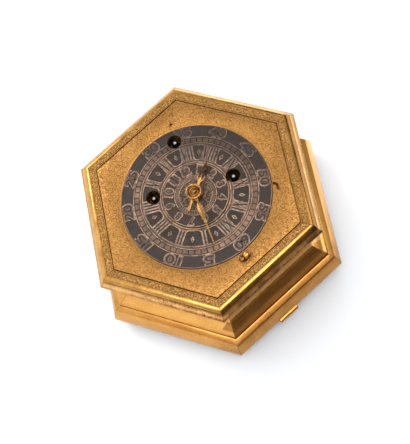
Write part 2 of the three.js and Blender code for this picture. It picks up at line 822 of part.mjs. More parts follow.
// Hour hand: pierced scrolls and a spear tip along +X, with the short tail that reads the alarm disc behind
function hourHand() {
  const low = plateFace + hourHandRise;
  const high = low + handThickness;
  const tipShares = [[0.16, 1.5], [0.3, 1.1], [0.36, 1.9], [0.46, 2.6], [0.58, 2.4], [0.66, 1.3], [0.7, 0.6],
    [0.74, 1.3], [0.8, 1.5], [0.88, 0.9]];
  const tailShares = [[-0.3, 0.9], [-0.6, 0.5], [-0.85, 0.8], [-1, 0.25]];
  const front = tipShares.map(([along, side]) => [along * hourHandLength, side * scrollUnit]);
  const back = tailShares.map(([along, side]) => [along * tailLength, side * scrollUnit]);
  const mirrored = (points) => points.map(([x, y]) => [x, -y]).reverse();
  const shape = outline([[hourHandLength, 0], ...front.slice().reverse(), ...back, ...mirrored(back),
    ...front.map(([x, y]) => [x, -y])]);
  const scrolls = arc(
    [hourHandLength * 0.5, scrollUnit * 1.15], scrollUnit * 0.62, 0, scrollOpenAngle, arcSteps + 1);
  shape.holes.push(outline(scrolls));
  shape.holes.push(outline(scrolls.map(([x, y]) => [x, -y]).reverse()));
  const eye = bar(alarmBossRadius, low, high, roundSteps);
  return plate(shape, low, high).add(eye)
    .subtract(bar(boreFor(hourPipeRadius, boreClearance, roundSteps), low - over, high + over, roundSteps));
}

// Collet that holds the hands: a ring with a raised edge and a small dome
function handCollet() {
  const low = plateFace + minuteHandRise + handThickness;
  const high = low + colletHeight;
  const domeShare = 0.3;
  return turned([
    [0, low], [colletRadius, low], [colletRadius, low + colletHeight * 0.6],
    [colletRadius * 0.93, low + colletHeight * 0.75], [colletRadius * 0.8, low + colletHeight * 0.75],
    [colletRadius * 0.66, low + colletHeight * 0.4], [colletRadius * 0.42, low + colletHeight * 0.4],
    [colletRadius * domeShare, low + colletHeight * 0.8], [colletRadius * domeShare / 2, high], [0, high],
  ], roundSteps);
}

// Catch: two-lobed thumb knob, stem through the plate and bolt that reaches under the seat along +Y
function catchKnob() {
  const bottom = plateFace - dialPlateThickness;
  const boltTop = bottom - boltDrop + boreClearance * 2;
  const stem = bar(knobStemRadius, boltTop - boltThickness, plateFace + knobHeight / 2, roundSteps / 2);
  const reach = plateApothem + plateGroove - knobCentre[1] - boltEndGap;
  const bolt = block([-boltWidth / 2, -boltWidth / 2, boltTop - boltThickness],
    [boltWidth / 2, reach, boltTop]);
  const lobe = (radius, x, height) => {
    const ball = new THREE.SphereGeometry(1, 8, 6);
    ball.rotateX(Math.PI / 2);
    ball.scale(radius, radius * knobWidth / knobLength * 1.3, height / 2);
    ball.translate(x, 0, plateFace + swingClearance + height / 2);
    return toSolid(ball);
  };
  const wide = lobe(knobLength * 0.36, -knobLength * 0.12, knobHeight);
  const narrow = lobe(knobLength * 0.26, knobLength * 0.3, knobHeight * 0.8);
  return stem.add(bolt).add(wide).add(narrow);
}

// Silence lever: an arm under the plate on a stud, with the hooked pin that stands through the slot
function silenceLever() {
  const high = plateFace - dialPlateThickness - swingClearance;
  const low = high - leverThickness;
  const reach = distanceOf(leverPivotCentre, leverPinCentre);
  const arm = plate(outline([
    ...arc([0, 0], leverWidth * leverEyeShare, leverEyeAngle, degreesRound - leverEyeAngle, arcSteps + 1),
    ...arc([reach, 0], leverWidth / 2, -quarterRound, quarterRound, arcSteps - 1),
  ]), low, high);
  const top = plateFace + leverPinHeight;
  const route = new THREE.CatmullRomCurve3([
    new THREE.Vector3(reach, 0, low + leverThickness / 2),
    new THREE.Vector3(reach, 0, plateFace),
    new THREE.Vector3(reach, 0, top - leverHookReach),
    new THREE.Vector3(reach - leverHookReach * 0.3, 0, top - leverHookReach * 0.3),
    new THREE.Vector3(reach - leverHookReach, 0, top),
  ]);
  const lastAngle = degreesRound - degreesRound / hexSides;
  const section = outline(arc([0, 0], leverPinRadius, 0, lastAngle, hexSides - 1));
  const pin = toSolid(new THREE.ExtrudeGeometry(section, {
    steps: leverPinSteps, bevelEnabled: false, extrudePath: route,
  }));
  return arm.add(pin).subtract(
    bar(boreFor(leverStudRadius, boreClearance, smallSteps), low - over, high + over, smallSteps));
}

// Movement plates, drilled for every pivot and arbor
const trainPlaces = [thirdPlace, contratePlace, pinWheelPlace, warningPlace, flyPlace, hammerArborCentre,
  alarmArborCentre];
const pivotBore = boreFor(pivotRadius, pivotClearance, arborSteps);
const windingBore = boreFor(windingArborRadius, pivotClearance, shaftSteps);
function movementPlate(low, high, holes) {
  const shape = new THREE.Shape();
  shape.absarc(0, 0, movementPlateRadius, 0, 2 * Math.PI, false);
  let solid = plate(shape, low, high, roundSteps);
  for (const [[x, y], radius, steps] of holes) {
    solid = solid.subtract(bar(radius, low - over, high + over, steps, x, y));
  }
  return solid;
}
function frontPlate() {
  const holes = [
    ...trainPlaces.map((centre) => [centre, pivotBore, arborSteps]),
    [vergePlace, pivotBore, arborSteps],
    ...Object.values(windingHoleCentres).map((centre) => [centre, windingBore, shaftSteps]),
    [middle, boreFor(arborRadius, pivotClearance, arborSteps), arborSteps],
    [barrelCentre, boreFor(arborRadius, pivotClearance, arborSteps), arborSteps],
  ];
  const [mx, my] = minuteArborPlace;
  const [lx, ly] = leverPivotCentre;
  const studTop = plateFace - dialPlateThickness - swingClearance;
  const leverFloor = studTop - leverThickness - swingClearance;
  return movementPlate(frontBottom, frontTop, holes)
    .add(bar(studRadius, frontTop - over, studTop, smallSteps, mx, my))
    .add(bar(leverStudRadius * 1.6, frontTop - over, leverFloor, smallSteps, lx, ly))
    .add(bar(leverStudRadius, frontTop - over, studTop, smallSteps, lx, ly));
}
function backPlate() {
  const countPinionRoom = pivotRadius + pivotClearance;
  const holes = [
    ...trainPlaces.map((centre) => [centre, boreFor(countPinionRoom, pivotClearance, arborSteps), arborSteps]),
    [vergePlace, boreFor(vergeRadius, pivotClearance * 2, arborSteps), arborSteps],
    ...Object.values(windingHoleCentres).map((centre) => [centre, pivotBore, arborSteps]),
    [middle, pivotBore, arborSteps],
    [barrelCentre, boreFor(arborRadius, pivotClearance, arborSteps), arborSteps],
  ];
  const [x, y] = countPlace;
  return movementPlate(backTop - movementPlateThickness, backTop, holes)
    .add(bar(arborRadius, countLow - swingClearance, backTop - over / 2, smallSteps, x, y));
}

// Baluster pillar between the plates
function pillar() {
  const shares = [[0.95, 0], [0.95, 0.06], [0.5, 0.12], [0.6, 0.3], [1, 0.5]];
  const lower = shares.map(([radius, along]) => [radius * pillarRadius, backTop + along * pillarLength]);
  const upper = shares.slice(0, -1).reverse()
    .map(([radius, along]) => [radius * pillarRadius, frontBottom - along * pillarLength]);
  return turned([[0, backTop], ...lower, ...upper, [0, frontBottom]], shaftSteps);
}

// Closed drum with end caps that stand a little proud
function drum(radius, low, high, bore) {
  const cap = radius * 0.08;
  return turned([
    [bore, low], [radius, low], [radius, high - cap], [radius - cap / 2, high - cap],
    [radius - cap / 2, high], [bore, high], [bore, low],
  ], drumSteps);
}

// Winding arbor: pivot in the back plate, round body, square end below the dial's face
function windingArbor() {
  const body = turned([
    [0, backTop - movementPlateThickness], [pivotRadius, backTop - movementPlateThickness],
    [pivotRadius, backTop + shoulderGap], [windingArborRadius, backTop + shoulderGap],
    [windingArborRadius, frontTop + over], [0, frontTop + over],
  ], shaftSteps);
  const half = windingSquare / 2;
  const chamfer = half * 0.35;
  const square = turned([
    [0, frontTop], [half * Math.SQRT2, frontTop], [half * Math.SQRT2, windingSquareTop - chamfer],
    [half * Math.SQRT2 - chamfer, windingSquareTop], [0, windingSquareTop],
  ], 4, Math.PI / 4);
  return body.add(square);
}

// Fusee: a hollow-waisted cone with the helical groove for the chain cut into it
const fuseeLow = goingWheelBottom - swingClearance - barrelLength;
const fuseeHigh = goingWheelBottom - swingClearance;
function fuseeRadiusAt(share) {
  const hollow = 0.12;
  const straight = fuseeNarrowRadius + (fuseeWideRadius - fuseeNarrowRadius) * share;
  return straight - hollow * fuseeWideRadius * Math.sin(Math.PI * share);
}
function fusee() {
  const around = 10;
  const levels = 18;
  const bore = boreFor(windingArborRadius, boreClearance, shaftSteps);
  const points = [];
  const faces = [];
  for (let level = 0; level <= levels; level++) {
    const share = level / levels;
    for (let i = 0; i < around; i++) {
      const angle = 2 * Math.PI * i / around;
      const wave = Math.sin(2 * Math.PI * (share * fuseeTurns - i / around));
      const inner = level > 0 && level < levels ? Math.max(0, wave) * fuseeGroove : 0;
      const radius = fuseeRadiusAt(share) - inner;
      const height = fuseeLow + (fuseeHigh - fuseeLow) * share;
      points.push(radius * Math.cos(angle), radius * Math.sin(angle), height);
    }
  }
  for (let level = 0; level < levels; level++) {
    for (let i = 0; i < around; i++) {
      const a = level * around + i;
      const b = level * around + (i + 1) % around;
      faces.push(a, b, b + around, a, b + around, a + around);
    }
  }
  const lowCentre = points.length / 3;
  points.push(0, 0, fuseeLow, 0, 0, fuseeHigh);
  for (let i = 0; i < around; i++) {
    const next = (i + 1) % around;
    faces.push(lowCentre, next, i);
    faces.push(lowCentre + 1, levels * around + i, levels * around + next);
  }
  const geometry = new THREE.BufferGeometry();
  geometry.setAttribute('position', new THREE.Float32BufferAttribute(points, 3));
  geometry.setIndex(faces);
  return toSolid(geometry).subtract(bar(bore, fuseeLow - over, fuseeHigh + over, shaftSteps));
}

// Fusee chain: a flat band round the barrel, straight across to the fusee and round its wide end
function fuseeChain() {
  const high = fuseeHigh - chainWidth;
  const wrapBarrel = barrelRadius + chainGap;
  const wrapFusee = fuseeWideRadius + chainGap;
  const span = distanceOf(barrelCentre, fuseePlace);
  const lean = Math.asin((wrapBarrel - wrapFusee) / span);
  const across = directionOf(barrelCentre, fuseePlace);
  const tangent = THREE.MathUtils.radToDeg(across - Math.PI / 2 + lean);
  const route = (outward) => [
    ...arc(barrelCentre, wrapBarrel + outward, tangent - barrelWrap, tangent, 12),
    ...arc(fuseePlace, wrapFusee + outward, tangent, tangent + fuseeWrap, 7),
  ];
  return plate(outline([...route(0), ...route(chainThickness).reverse()]), high - chainWidth, high);
}

// Bar with round ends between two places
function link(from, to, half, low, high) {
  const angle = THREE.MathUtils.radToDeg(directionOf(from, to));
  return plate(outline([
    ...arc(to, half, angle - quarterRound, angle + quarterRound, arcSteps - 1),
    ...arc(from, half, angle + quarterRound, angle + halfRound + quarterRound, arcSteps - 1),
  ]), low, high);
}

// Pinion whose length is centred on the wheel that drives it
function pinionAt(leaves, module, wheelLow, thickness) {
  const centre = wheelLow + thickness / 2;
  return plate(toothedOutline(leaves, module), centre - pinionLength / 2, centre + pinionLength / 2);
}

// Ring with pointed teeth on its end face, one of them along +X: every other point of the rim is a root
function axialRing(teeth, innerRadius, outerRadius, back, roots, tips) {
  const rim = [[innerRadius, tips], [outerRadius, tips], [outerRadius, back], [innerRadius, back],
    [innerRadius, tips]].map(([radius, height]) => new THREE.Vector2(radius, height));
  const geometry = new THREE.LatheGeometry(rim, 2 * teeth, Math.PI / 2);
  const points = geometry.getAttribute('position');
  for (let i = 0; i < points.count; i++) {
    const step = Math.floor(i / rim.length);
    if (step % 2 === 1 && points.getY(i) === Math.fround(tips)) points.setY(i, roots);
  }
  geometry.rotateX(Math.PI / 2);
  return toSolid(geometry);
}

// Lays a piece that was built about Z along X, after a turn about its own axis
function laidAlongX(solid, spin) {
  const geometry = toGeometry(solid);
  geometry.rotateZ(spin);
  geometry.rotateY(Math.PI / 2);
  return toSolid(geometry);
}

// Going great wheel, free on the fusee's arbor
function goingGreatWheel() {
  const bore = boreFor(windingArborRadius, boreClearance, shaftSteps);
  return crossedWheel(goingGreatTeeth, goingModule, goingWheelBottom, goingWheelTop)
    .subtract(bar(bore, goingWheelBottom - over, goingWheelTop + over, shaftSteps));
}

// Fixed arbor that the spring barrel turns on
function barrelArbor() {
  return bar(arborRadius, backBottom - pivotProud, frontTop + pivotProud, arborSteps);
}

// Centre arbor with its pinion and wheel; it stands through the front plate to carry the cannon pinion
function centreWheel() {
  const low = backTop - movementPlateThickness - pivotProud;
  const high = frontTop + underDialSpace - over;
  const shaft = turned([
    [0, low], [pivotRadius, low], [pivotRadius, backTop + shoulderGap], [arborRadius, backTop + shoulderGap],
    [arborRadius, high], [0, high],
  ], arborSteps);
  return crossedWheel(centreTeeth, centreModule, centreWheelBottom, centreWheelBottom + wheelThickness)
    .add(pinionAt(centrePinionLeaves, goingModule, goingWheelBottom, greatWheelThickness))
    .add(shaft);
}

// Third arbor, pinion and wheel
function thirdWheel() {
  return crossedWheel(thirdTeeth, thirdModule, thirdWheelBottom, thirdWheelBottom + wheelThickness)
    .add(pinionAt(trainPinionLeaves, centreModule, centreWheelBottom, wheelThickness))
    .add(trainArbor());
}

// Contrate wheel: its teeth stand on the face and turn the drive through a right angle
function contrateWheel() {
  const inner = contratePitchRadius - contrateRimWidth / 2;
  const outer = contratePitchRadius + contrateRimWidth / 2;
  const webLow = contrateTop - wheelThickness;
  const roots = webLow - wheelThickness;
  const tips = roots - contrateModule * (addendumShare + dedendumShare);
  const hubShare = 0.32;
  const webEnd = degreesRound - degreesRound / roundSteps;
  const web = outline(arc(middle, inner + contrateRimWidth / 4, 0, webEnd, roundSteps - 1));
  addCrossings(web, 3, contratePitchRadius * hubShare, inner - contrateRimWidth / 4, wheelThickness);
  return axialRing(contrateTeeth, inner, outer, contrateTop, roots, tips)
    .add(plate(web, webLow, contrateTop))
    .add(pinionAt(trainPinionLeaves, thirdModule, thirdWheelBottom, wheelThickness))
    .add(trainArbor());
}

// Crown wheel: lies across the movement, with its pinion under the rim of the contrate wheel
function crownWheel() {
  const inner = crownRadius - crownRimWidth;
  const roots = crownTips - crownToothDepth;
  const webTo = crownWebFrom + crownRimWidth;
  const pitch = 2 * Math.PI / contrateTeeth;
  const facing = THREE.MathUtils.degToRad(crownAngle);
  const offset = (contrateTurn - facing) % pitch;
  const pinionRadius = contrateModule * crownPinionLeaves / 2;
  const spin = Math.PI / crownPinionLeaves - offset * contratePitchRadius / pinionRadius;
  const solid = axialRing(crownTeeth, inner, crownRadius, crownWebFrom, roots, crownTips)
    .add(bar(crownRadius - crownRimWidth / 2, crownWebFrom, webTo, crownTeeth * 2))
    .add(plate(toothedOutline(crownPinionLeaves, contrateModule), crownPinionFrom, crownPinionTo))
    .add(bar(crownArborRadius, crownArborFrom, crownArborTo, arborSteps));
  return laidAlongX(solid, spin);
}

// Bearings of the crown wheel: a small post inside the contrate rim and the potence beyond the verge
function crownBore() {
  return laidAlongX(bar(boreFor(crownArborRadius, pivotClearance, arborSteps), crownArborFrom - over,
    crownArborTo + swingClearance, arborSteps), 0);
}
function counterPotence() {
  const low = backTop - crownAxis;
  return block([counterPotenceFrom, -potenceHalfWidth, low],
    [counterPotenceTo, potenceHalfWidth, potenceHalfHeight]).subtract(crownBore());
}
function potence() {
  const low = backTop - crownAxis;
  const nose = block([potenceNoseFrom, -potenceHalfWidth, -potenceHalfHeight],
    [potencePostTo, potenceHalfWidth, potenceHalfHeight]);
  const post = block([potencePostFrom, -potenceHalfWidth, low],
    [potencePostTo, potenceHalfWidth, potenceHalfHeight]);
  return nose.add(post).subtract(crownBore())
    .subtract(bar(vergeRadius + swingClearance, -over * 2, over * 2, smallSteps, vergeDistance, 0));
}

// Verge: a vertical staff with two pallets that face the crown wheel
function verge() {
  const low = backBottom - cockDrop + pivotProud;
  const staff = bar(vergeRadius, low, frontBottom + movementPlateThickness, smallSteps);
  const reach = crownRadius - crownRimWidth / 2;
  const pallet = (angle, height) => {
    const geometry = new THREE.BoxGeometry(palletLength, palletThickness, palletHeight);
    geometry.translate(palletLength / 2, 0, height);
    geometry.rotateZ(THREE.MathUtils.degToRad(crownAngle + halfRound + angle));
    return toSolid(geometry);
  };
  return staff.add(pallet(palletAngle, crownAxis + reach))
    .add(pallet(-palletAngle, crownAxis - reach));
}

// Balance wheel: plain rim on three arms, with no spring, under the back plate
function balanceWheel() {
  const high = backBottom - balanceDrop;
  const low = high - balanceThickness;
  const shape = new THREE.Shape();
  shape.absarc(0, 0, balanceRadius, 0, 2 * Math.PI, false);
  const hubShare = 0.18;
  addCrossings(shape, 3, balanceRadius * hubShare, balanceRadius - balanceRimWidth, balanceRimWidth);
  return plate(shape, low, high, roundSteps / 2).subtract(
    bar(boreFor(vergeRadius, boreClearance, smallSteps), low - over, high + over, smallSteps));
}

// Balance cock: a pierced round table under the balance, on an arm and a foot screwed to the back plate
function balanceCock() {
  const low = backBottom - cockDrop;
  const high = low + cockThickness;
  const [fx, fy] = cockFootPlace;
  const table = bar(cockTableRadius, low, high, roundSteps, vergePlace[0], vergePlace[1]);
  let solid = table
    .add(link(vergePlace, cockFootPlace, cockFootRadius * 0.8, low, high))
    .add(bar(cockFootRadius, low, backBottom, roundSteps / 2, fx, fy));
  const petals = 5;
  const petalShare = 0.62;
  const petalRadiusShare = 0.17;
  for (let i = 0; i < petals; i++) {
    const angle = cockFootAngle + degreesRound * (i + 0.5) / petals;
    const [x, y] = away(vergePlace, cockTableRadius * petalShare, angle);
    solid = solid.subtract(bar(cockTableRadius * petalRadiusShare, low - over, high + over, smallSteps, x, y));
  }
  const [vx, vy] = vergePlace;
  const bore = boreFor(vergeRadius, pivotClearance, smallSteps);
  return solid.subtract(bar(bore, low - over, high + over, smallSteps, vx, vy));
}

// Motion work: cannon pinion, minute wheel with its pinion, hour wheel with its pipe
function cannonPinion() {
  const low = frontTop + 2 * pivotProud;
  const pinionTop = low + 2 * wheelThickness;
  const high = plateFace + minuteHandRise + handThickness;
  return plate(toothedOutline(cannonTeeth, motionModule), low, pinionTop)
    .add(bar(cannonRadius, low, high, roundSteps / 2))
    .subtract(bar(boreFor(arborRadius, boreClearance, arborSteps), low - over,
      frontTop + underDialSpace - over + swingClearance, arborSteps));
}
const minuteWheelLow = frontTop + 2 * swingClearance;
const hourWheelLow = frontTop + underDialSpace / 2;
function minuteWheel() {
  const wheelTop = minuteWheelLow + wheelThickness;
  const pinionTop = hourWheelLow + 2 * wheelThickness;
  return crossedWheel(minuteWheelTeeth, motionModule, minuteWheelLow, wheelTop, 3)
    .add(plate(toothedOutline(minutePinionLeaves, hourModule), minuteWheelLow, pinionTop))
    .subtract(bar(boreFor(studRadius, boreClearance, smallSteps), minuteWheelLow - over, pinionTop + over,
      smallSteps));
}
function hourWheel() {
  const high = plateFace + hourHandRise + handThickness;
  const bore = boreFor(cannonRadius, pivotClearance, roundSteps / 2);
  return crossedWheel(hourWheelTeeth, hourModule, hourWheelLow, hourWheelLow + wheelThickness, 3)
    .add(bar(hourPipeRadius, hourWheelLow, high, roundSteps))
    .subtract(bar(bore, hourWheelLow - over, high + over, roundSteps / 2));
}

// Striking train
function strikeGreatWheel() {
  const bore = boreFor(windingArborRadius, boreClearance, shaftSteps);
  return crossedWheel(strikeGreatTeeth, strikeModule, strikeWheelBottom, strikeWheelTop)
    .subtract(bar(bore, strikeWheelBottom - over, strikeWheelTop + over, shaftSteps));
}
function pinWheel() {
  const low = pinWheelBottom;
  let solid = crossedWheel(pinWheelTeeth, pinWheelModule, low, low + wheelThickness)
    .add(pinionAt(trainPinionLeaves, strikeModule, strikeWheelBottom, greatWheelThickness))
    .add(trainArbor());
  for (let i = 0; i < pinCount; i++) {
    const [x, y] = away(middle, pinCircle, degreesRound * (i + 0.5) / pinCount);
    solid = solid.add(bar(pinRadius, low - pinLength, low + wheelThickness / 2, pinSteps, x, y));
  }
  const pinionTop = countTop + countPinionRise;
  return solid
    .add(bar(pivotRadius, countTop - wheelThickness, backTop, smallSteps))
    .add(plate(toothedOutline(countPinionLeaves, countModule), countTop - wheelThickness - countPinionRise,
      pinionTop));
}
function warningWheel() {
  return crossedWheel(warningTeeth, warningModule, warningBottom, warningBottom + wheelThickness, 3)
    .add(pinionAt(trainPinionLeaves, pinWheelModule, pinWheelBottom, wheelThickness))
    .add(trainArbor());
}
function fly() {
  const high = warningBottom + wheelThickness / 2 - pinionLength / 2;
  return trainArbor()
    .add(pinionAt(trainPinionLeaves, warningModule, warningBottom, wheelThickness))
    .add(block([-flyRadius, -flyThickness / 2, high - flyHeight], [flyRadius, flyThickness / 2, high]));
}

// Count wheel: a toothed wheel under the back plate with a disc notched for one to twelve blows
function countWheel() {
  const wheelLow = countTop - wheelThickness;
  let disc = bar(countDiscRadius, countLow, wheelLow + wheelThickness / 2, drumSteps * 2);
  const steps = strikesInTwelveHours + hoursOnCountWheel;
  for (let hour = 1; hour <= hoursOnCountWheel; hour++) {
    const share = (hour * (hour + 1) / 2 + hour) / steps;
    const notch = new THREE.BoxGeometry(2 * countNotchDepth, 2 * countNotchHalf, 2 * countDiscThickness);
    notch.translate(countDiscRadius, 0, countLow);
    notch.rotateZ(2 * Math.PI * share);
    disc = disc.subtract(toSolid(notch));
  }
  return plate(toothedOutline(countTeeth, countModule), wheelLow, countTop).add(disc)
    .subtract(bar(boreFor(arborRadius, boreClearance, smallSteps), countLow - over, countTop + over,
      smallSteps));
}

// Strike hammer: an arbor with a tail towards the pins and an arm whose head stands beside the bell
const hammerHeadPlace = away(bellCentre, bellRadius + hammerHeadRadius + hammerClearance, hammerHeadAngle);
function strikeHammer() {
  const [hx, hy] = hammerArborCentre;
  const [px, py] = hammerHeadPlace;
  const tailLow = pinWheelBottom - pinLength;
  const tailLength = distanceOf(hammerArborCentre, pinWheelPlace) - pinCircle - pinRadius - swingClearance
    - hammerArmWidth / 2;
  const tailEnd = away(hammerArborCentre, tailLength,
    THREE.MathUtils.radToDeg(directionOf(hammerArborCentre, pinWheelPlace)));
  const reach = movementPlateThickness + pivotProud;
  const shaft = turned([
    [0, hammerArmLow], [pivotRadius, hammerArmLow], [pivotRadius, backTop + shoulderGap],
    [arborRadius, backTop + shoulderGap], [arborRadius, frontBottom - shoulderGap],
    [pivotRadius, frontBottom - shoulderGap], [pivotRadius, frontBottom + reach], [0, frontBottom + reach],
  ], arborSteps);
  const placed = shaft.translate([hx, hy, 0]);
  return placed
    .add(link(hammerArborCentre, tailEnd, hammerArmWidth / 2, tailLow, tailLow + hammerArmThickness))
    .add(link(hammerArborCentre, hammerHeadPlace, hammerArmWidth / 2, hammerArmLow, hammerArmHigh))
    .add(bar(hammerHeadRadius, hammerHeadLow, hammerArmHigh, roundSteps / 2, px, py));
}

// Alarm: crown-like wheel on the alarm barrel, and the verge whose hammer swings inside the bell
function alarmWheel() {
  const module = alarmWheelRadius / (alarmWheelTeeth / 2 + addendumShare);
  const bore = boreFor(windingArborRadius, boreClearance, shaftSteps);
  return crossedWheel(alarmWheelTeeth, module, goingWheelBottom, goingWheelBottom + wheelThickness, 3)
    .add(bar(windingArborRadius * 1.6, goingWheelBottom, goingWheelBottom + wheelThickness, shaftSteps))
    .subtract(bar(bore, goingWheelBottom - over, goingWheelTop + over, shaftSteps));
}
const alarmHeadPlace = away(bellCentre, bellRadius - alarmHeadInset, alarmHeadAngle);
function alarmHammer() {
  const [ax, ay] = alarmArborCentre;
  const [px, py] = alarmHeadPlace;
  const reach = movementPlateThickness + pivotProud;
  const palletMiddle = goingWheelBottom + wheelThickness / 2;
  const facing = THREE.MathUtils.radToDeg(directionOf(alarmArborCentre, alarmPlace));
  const staff = turned([
    [0, hammerArmLow], [pivotRadius, hammerArmLow], [pivotRadius, backTop + shoulderGap],
    [arborRadius, backTop + shoulderGap], [arborRadius, frontBottom - shoulderGap],
    [pivotRadius, frontBottom - shoulderGap], [pivotRadius, frontBottom + reach], [0, frontBottom + reach],
  ], arborSteps).translate([ax, ay, 0]);
  const pallets = [alarmPalletAngle, -alarmPalletAngle].map((angle) => {
    const end = away(alarmArborCentre, alarmPalletReach - palletThickness / 2, facing + angle);
    return link(alarmArborCentre, end, palletThickness / 2, palletMiddle - palletHeight / 2,
      palletMiddle + palletHeight / 2);
  });
  return staff.add(pallets[0]).add(pallets[1])
    .add(link(alarmArborCentre, alarmHeadPlace, hammerArmWidth / 2, hammerArmLow, hammerArmHigh))
    .add(bar(hammerHeadRadius * 0.8, hammerHeadLow, hammerArmHigh, roundSteps / 2, px, py));
}

// Bell, mouth up, on a shouldered post from the back plate and held by a nut
const bellFloorTop = bellLow + bellWall;
function bell() {
  const bore = boreFor(bellPostRadius, boreClearance, roundSteps / 2);
  const wallShares = [[0.42, 0], [0.71, 0.12], [0.9, 0.41], [0.97, 0.75]];
  const outer = wallShares.map(([along, up]) => [along * bellRadius, bellLow + up * bellHeight]);
  const inner = wallShares.slice(1).reverse()
    .map(([along, up]) => [along * bellRadius - bellWall, bellLow + up * bellHeight + bellWall * (1 - up)]);
  return turned([
    [bore, bellLow], ...outer, [bellRadius, bellTop], [bellRadius - bellWall, bellTop], ...inner,
    [outer[0][0] - bellWall / 2, bellFloorTop], [bore, bellFloorTop], [bore, bellLow],
  ], roundSteps);
}
function bellPost() {
  return turned([
    [0, bellLow - bellNutHeight - pivotProud], [bellPostRadius, bellLow - bellNutHeight - pivotProud],
    [bellPostRadius, bellFloorTop], [bellShoulderRadius, bellFloorTop],
    [bellShoulderRadius, bellFloorTop + bellNutHeight], [bellPostRadius, bellFloorTop + bellShoulderRadius],
    [bellPostRadius, backBottom - bellShoulderRadius], [bellShoulderRadius, backBottom - bellNutHeight],
    [bellShoulderRadius, backBottom], [0, backBottom],
  ], roundSteps / 2);
}
function bellNut() {
  const bore = boreFor(bellPostRadius, boreClearance, roundSteps / 2);
  const low = bellLow - bellNutHeight;
  return bar(bellNutRadius, low, bellLow, hexSides)
    .subtract(bar(bore, low - over, bellLow + over, roundSteps / 2));
}

// Case, from the top down
add('top_moulding', topMoulding(), gilt);
add('case_wall', caseWall(), polishedGilt);
add('base_moulding', baseMoulding(), polishedGilt);
add('bottom_cover', bottomCover(), gilt);
add('hinge_pin', hingePin(), steel);
add('cover_catch', coverCatch(), steel);
for (let i = 0; i < hexSides; i++) {
  const [x, y] = away(middle, footCircle, degreesRound * i / hexSides);
  add(`foot_${i + 1}`, foot(), polishedGilt, [x, y, 0]);
}

// Dial and hands
add('dial_plate', dialPlate(), gilt);
add('chapter_disc', chapterDisc(), silver);
add('alarm_disc', alarmDisc(), silver);
add('hour_hand', hourHand(), handGilt, [0, 0, 0], THREE.MathUtils.degToRad(hourHandAngle));
add('minute_hand', minuteHand(), handGilt, [0, 0, 0], THREE.MathUtils.degToRad(minuteHandAngle));
add('hand_collet', handCollet(), handGilt);
add('catch_knob', catchKnob(), polishedGilt, [...knobCentre, 0]);
const leverTurn = directionOf(leverPivotCentre, leverPinCentre);
add('silence_lever', silenceLever(), steel, [...leverPivotCentre, 0], leverTurn);

// Movement frame
add('front_plate', frontPlate(), brass);
add('back_plate', backPlate(), brass);
pillarAngles.forEach((angle, i) => {
  const [x, y] = away(middle, pillarCircle, angle);
  add(`pillar_${i + 1}`, pillar(), brass, [x, y, 0]);
});

// Going train
add('going_winding_arbor', windingArbor(), steel, [...fuseePlace, 0]);
add('going_great_wheel', goingGreatWheel(), brass, [...fuseePlace, 0]);
add('fusee', fusee(), brass, [...fuseePlace, 0]);
add('spring_barrel', drum(barrelRadius, fuseeLow, fuseeHigh, boreFor(arborRadius, boreClearance, arborSteps)),
  brass, [...barrelCentre, 0]);
add('barrel_arbor', barrelArbor(), steel, [...barrelCentre, 0]);
add('fusee_chain', fuseeChain(), steel);
add('centre_wheel', centreWheel(), brass, [0, 0, 0], centreTurn);
add('third_wheel', thirdWheel(), brass, [...thirdPlace, 0], thirdTurn);
add('contrate_wheel', contrateWheel(), brass, [...contratePlace, 0], contrateTurn);
const crownFacing = THREE.MathUtils.degToRad(crownAngle);
add('crown_wheel', crownWheel(), brass, [...contratePlace, crownAxis], crownFacing);
add('counter_potence', counterPotence(), brass, [...contratePlace, crownAxis], crownFacing);
add('potence', potence(), brass, [...contratePlace, crownAxis], crownFacing);
add('verge', verge(), steel, [...vergePlace, 0]);
add('balance_wheel', balanceWheel(), polishedGilt, [...vergePlace, 0]);
add('balance_cock', balanceCock(), gilt);

// Motion work
add('cannon_pinion', cannonPinion(), steel, [0, 0, 0], centreTurn);
add('minute_wheel', minuteWheel(), brass, [...minuteArborPlace, 0], minuteTurn);
add('hour_wheel', hourWheel(), brass, [0, 0, 0], hourTurn);

// Striking train
const barrelHigh = strikeWheelBottom - swingClearance;
const windingBarrelBore = boreFor(windingArborRadius, boreClearance, roundSteps);
add('strike_winding_arbor', windingArbor(), steel, [...strikePlace, 0]);
add('strike_great_wheel', strikeGreatWheel(), brass, [...strikePlace, 0]);
add('strike_barrel', drum(strikeBarrelRadius, barrelHigh - barrelLength, barrelHigh, windingBarrelBore),
  brass, [...strikePlace, 0]);
add('pin_wheel', pinWheel(), brass, [...pinWheelPlace, 0], pinWheelTurn);
add('warning_wheel', warningWheel(), brass, [...warningPlace, 0], warningTurn);
add('fly', fly(), steel, [...flyPlace, 0], flyTurn);
add('count_wheel', countWheel(), brass, [...countPlace, 0], countTurn);
add('strike_hammer', strikeHammer(), steel);

// Alarm
add('alarm_winding_arbor', windingArbor(), steel, [...alarmPlace, 0]);
add('alarm_barrel', drum(alarmBarrelRadius, barrelHigh - alarmBarrelLength, barrelHigh, windingBarrelBore),
  brass, [...alarmPlace, 0]);
add('alarm_wheel', alarmWheel(), brass, [...alarmPlace, 0]);
add('alarm_hammer', alarmHammer(), steel);

// Bell
add('bell_post', bellPost(), steel, [...bellCentre, 0]);
add('bell', bell(), bellMetal, [...bellCentre, 0]);
add('bell_nut', bellNut(), steel, [...bellCentre, 0]);

export default clock;
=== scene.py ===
import functools
import json
import math

import bmesh
import bpy
from mathutils import Matrix, Vector


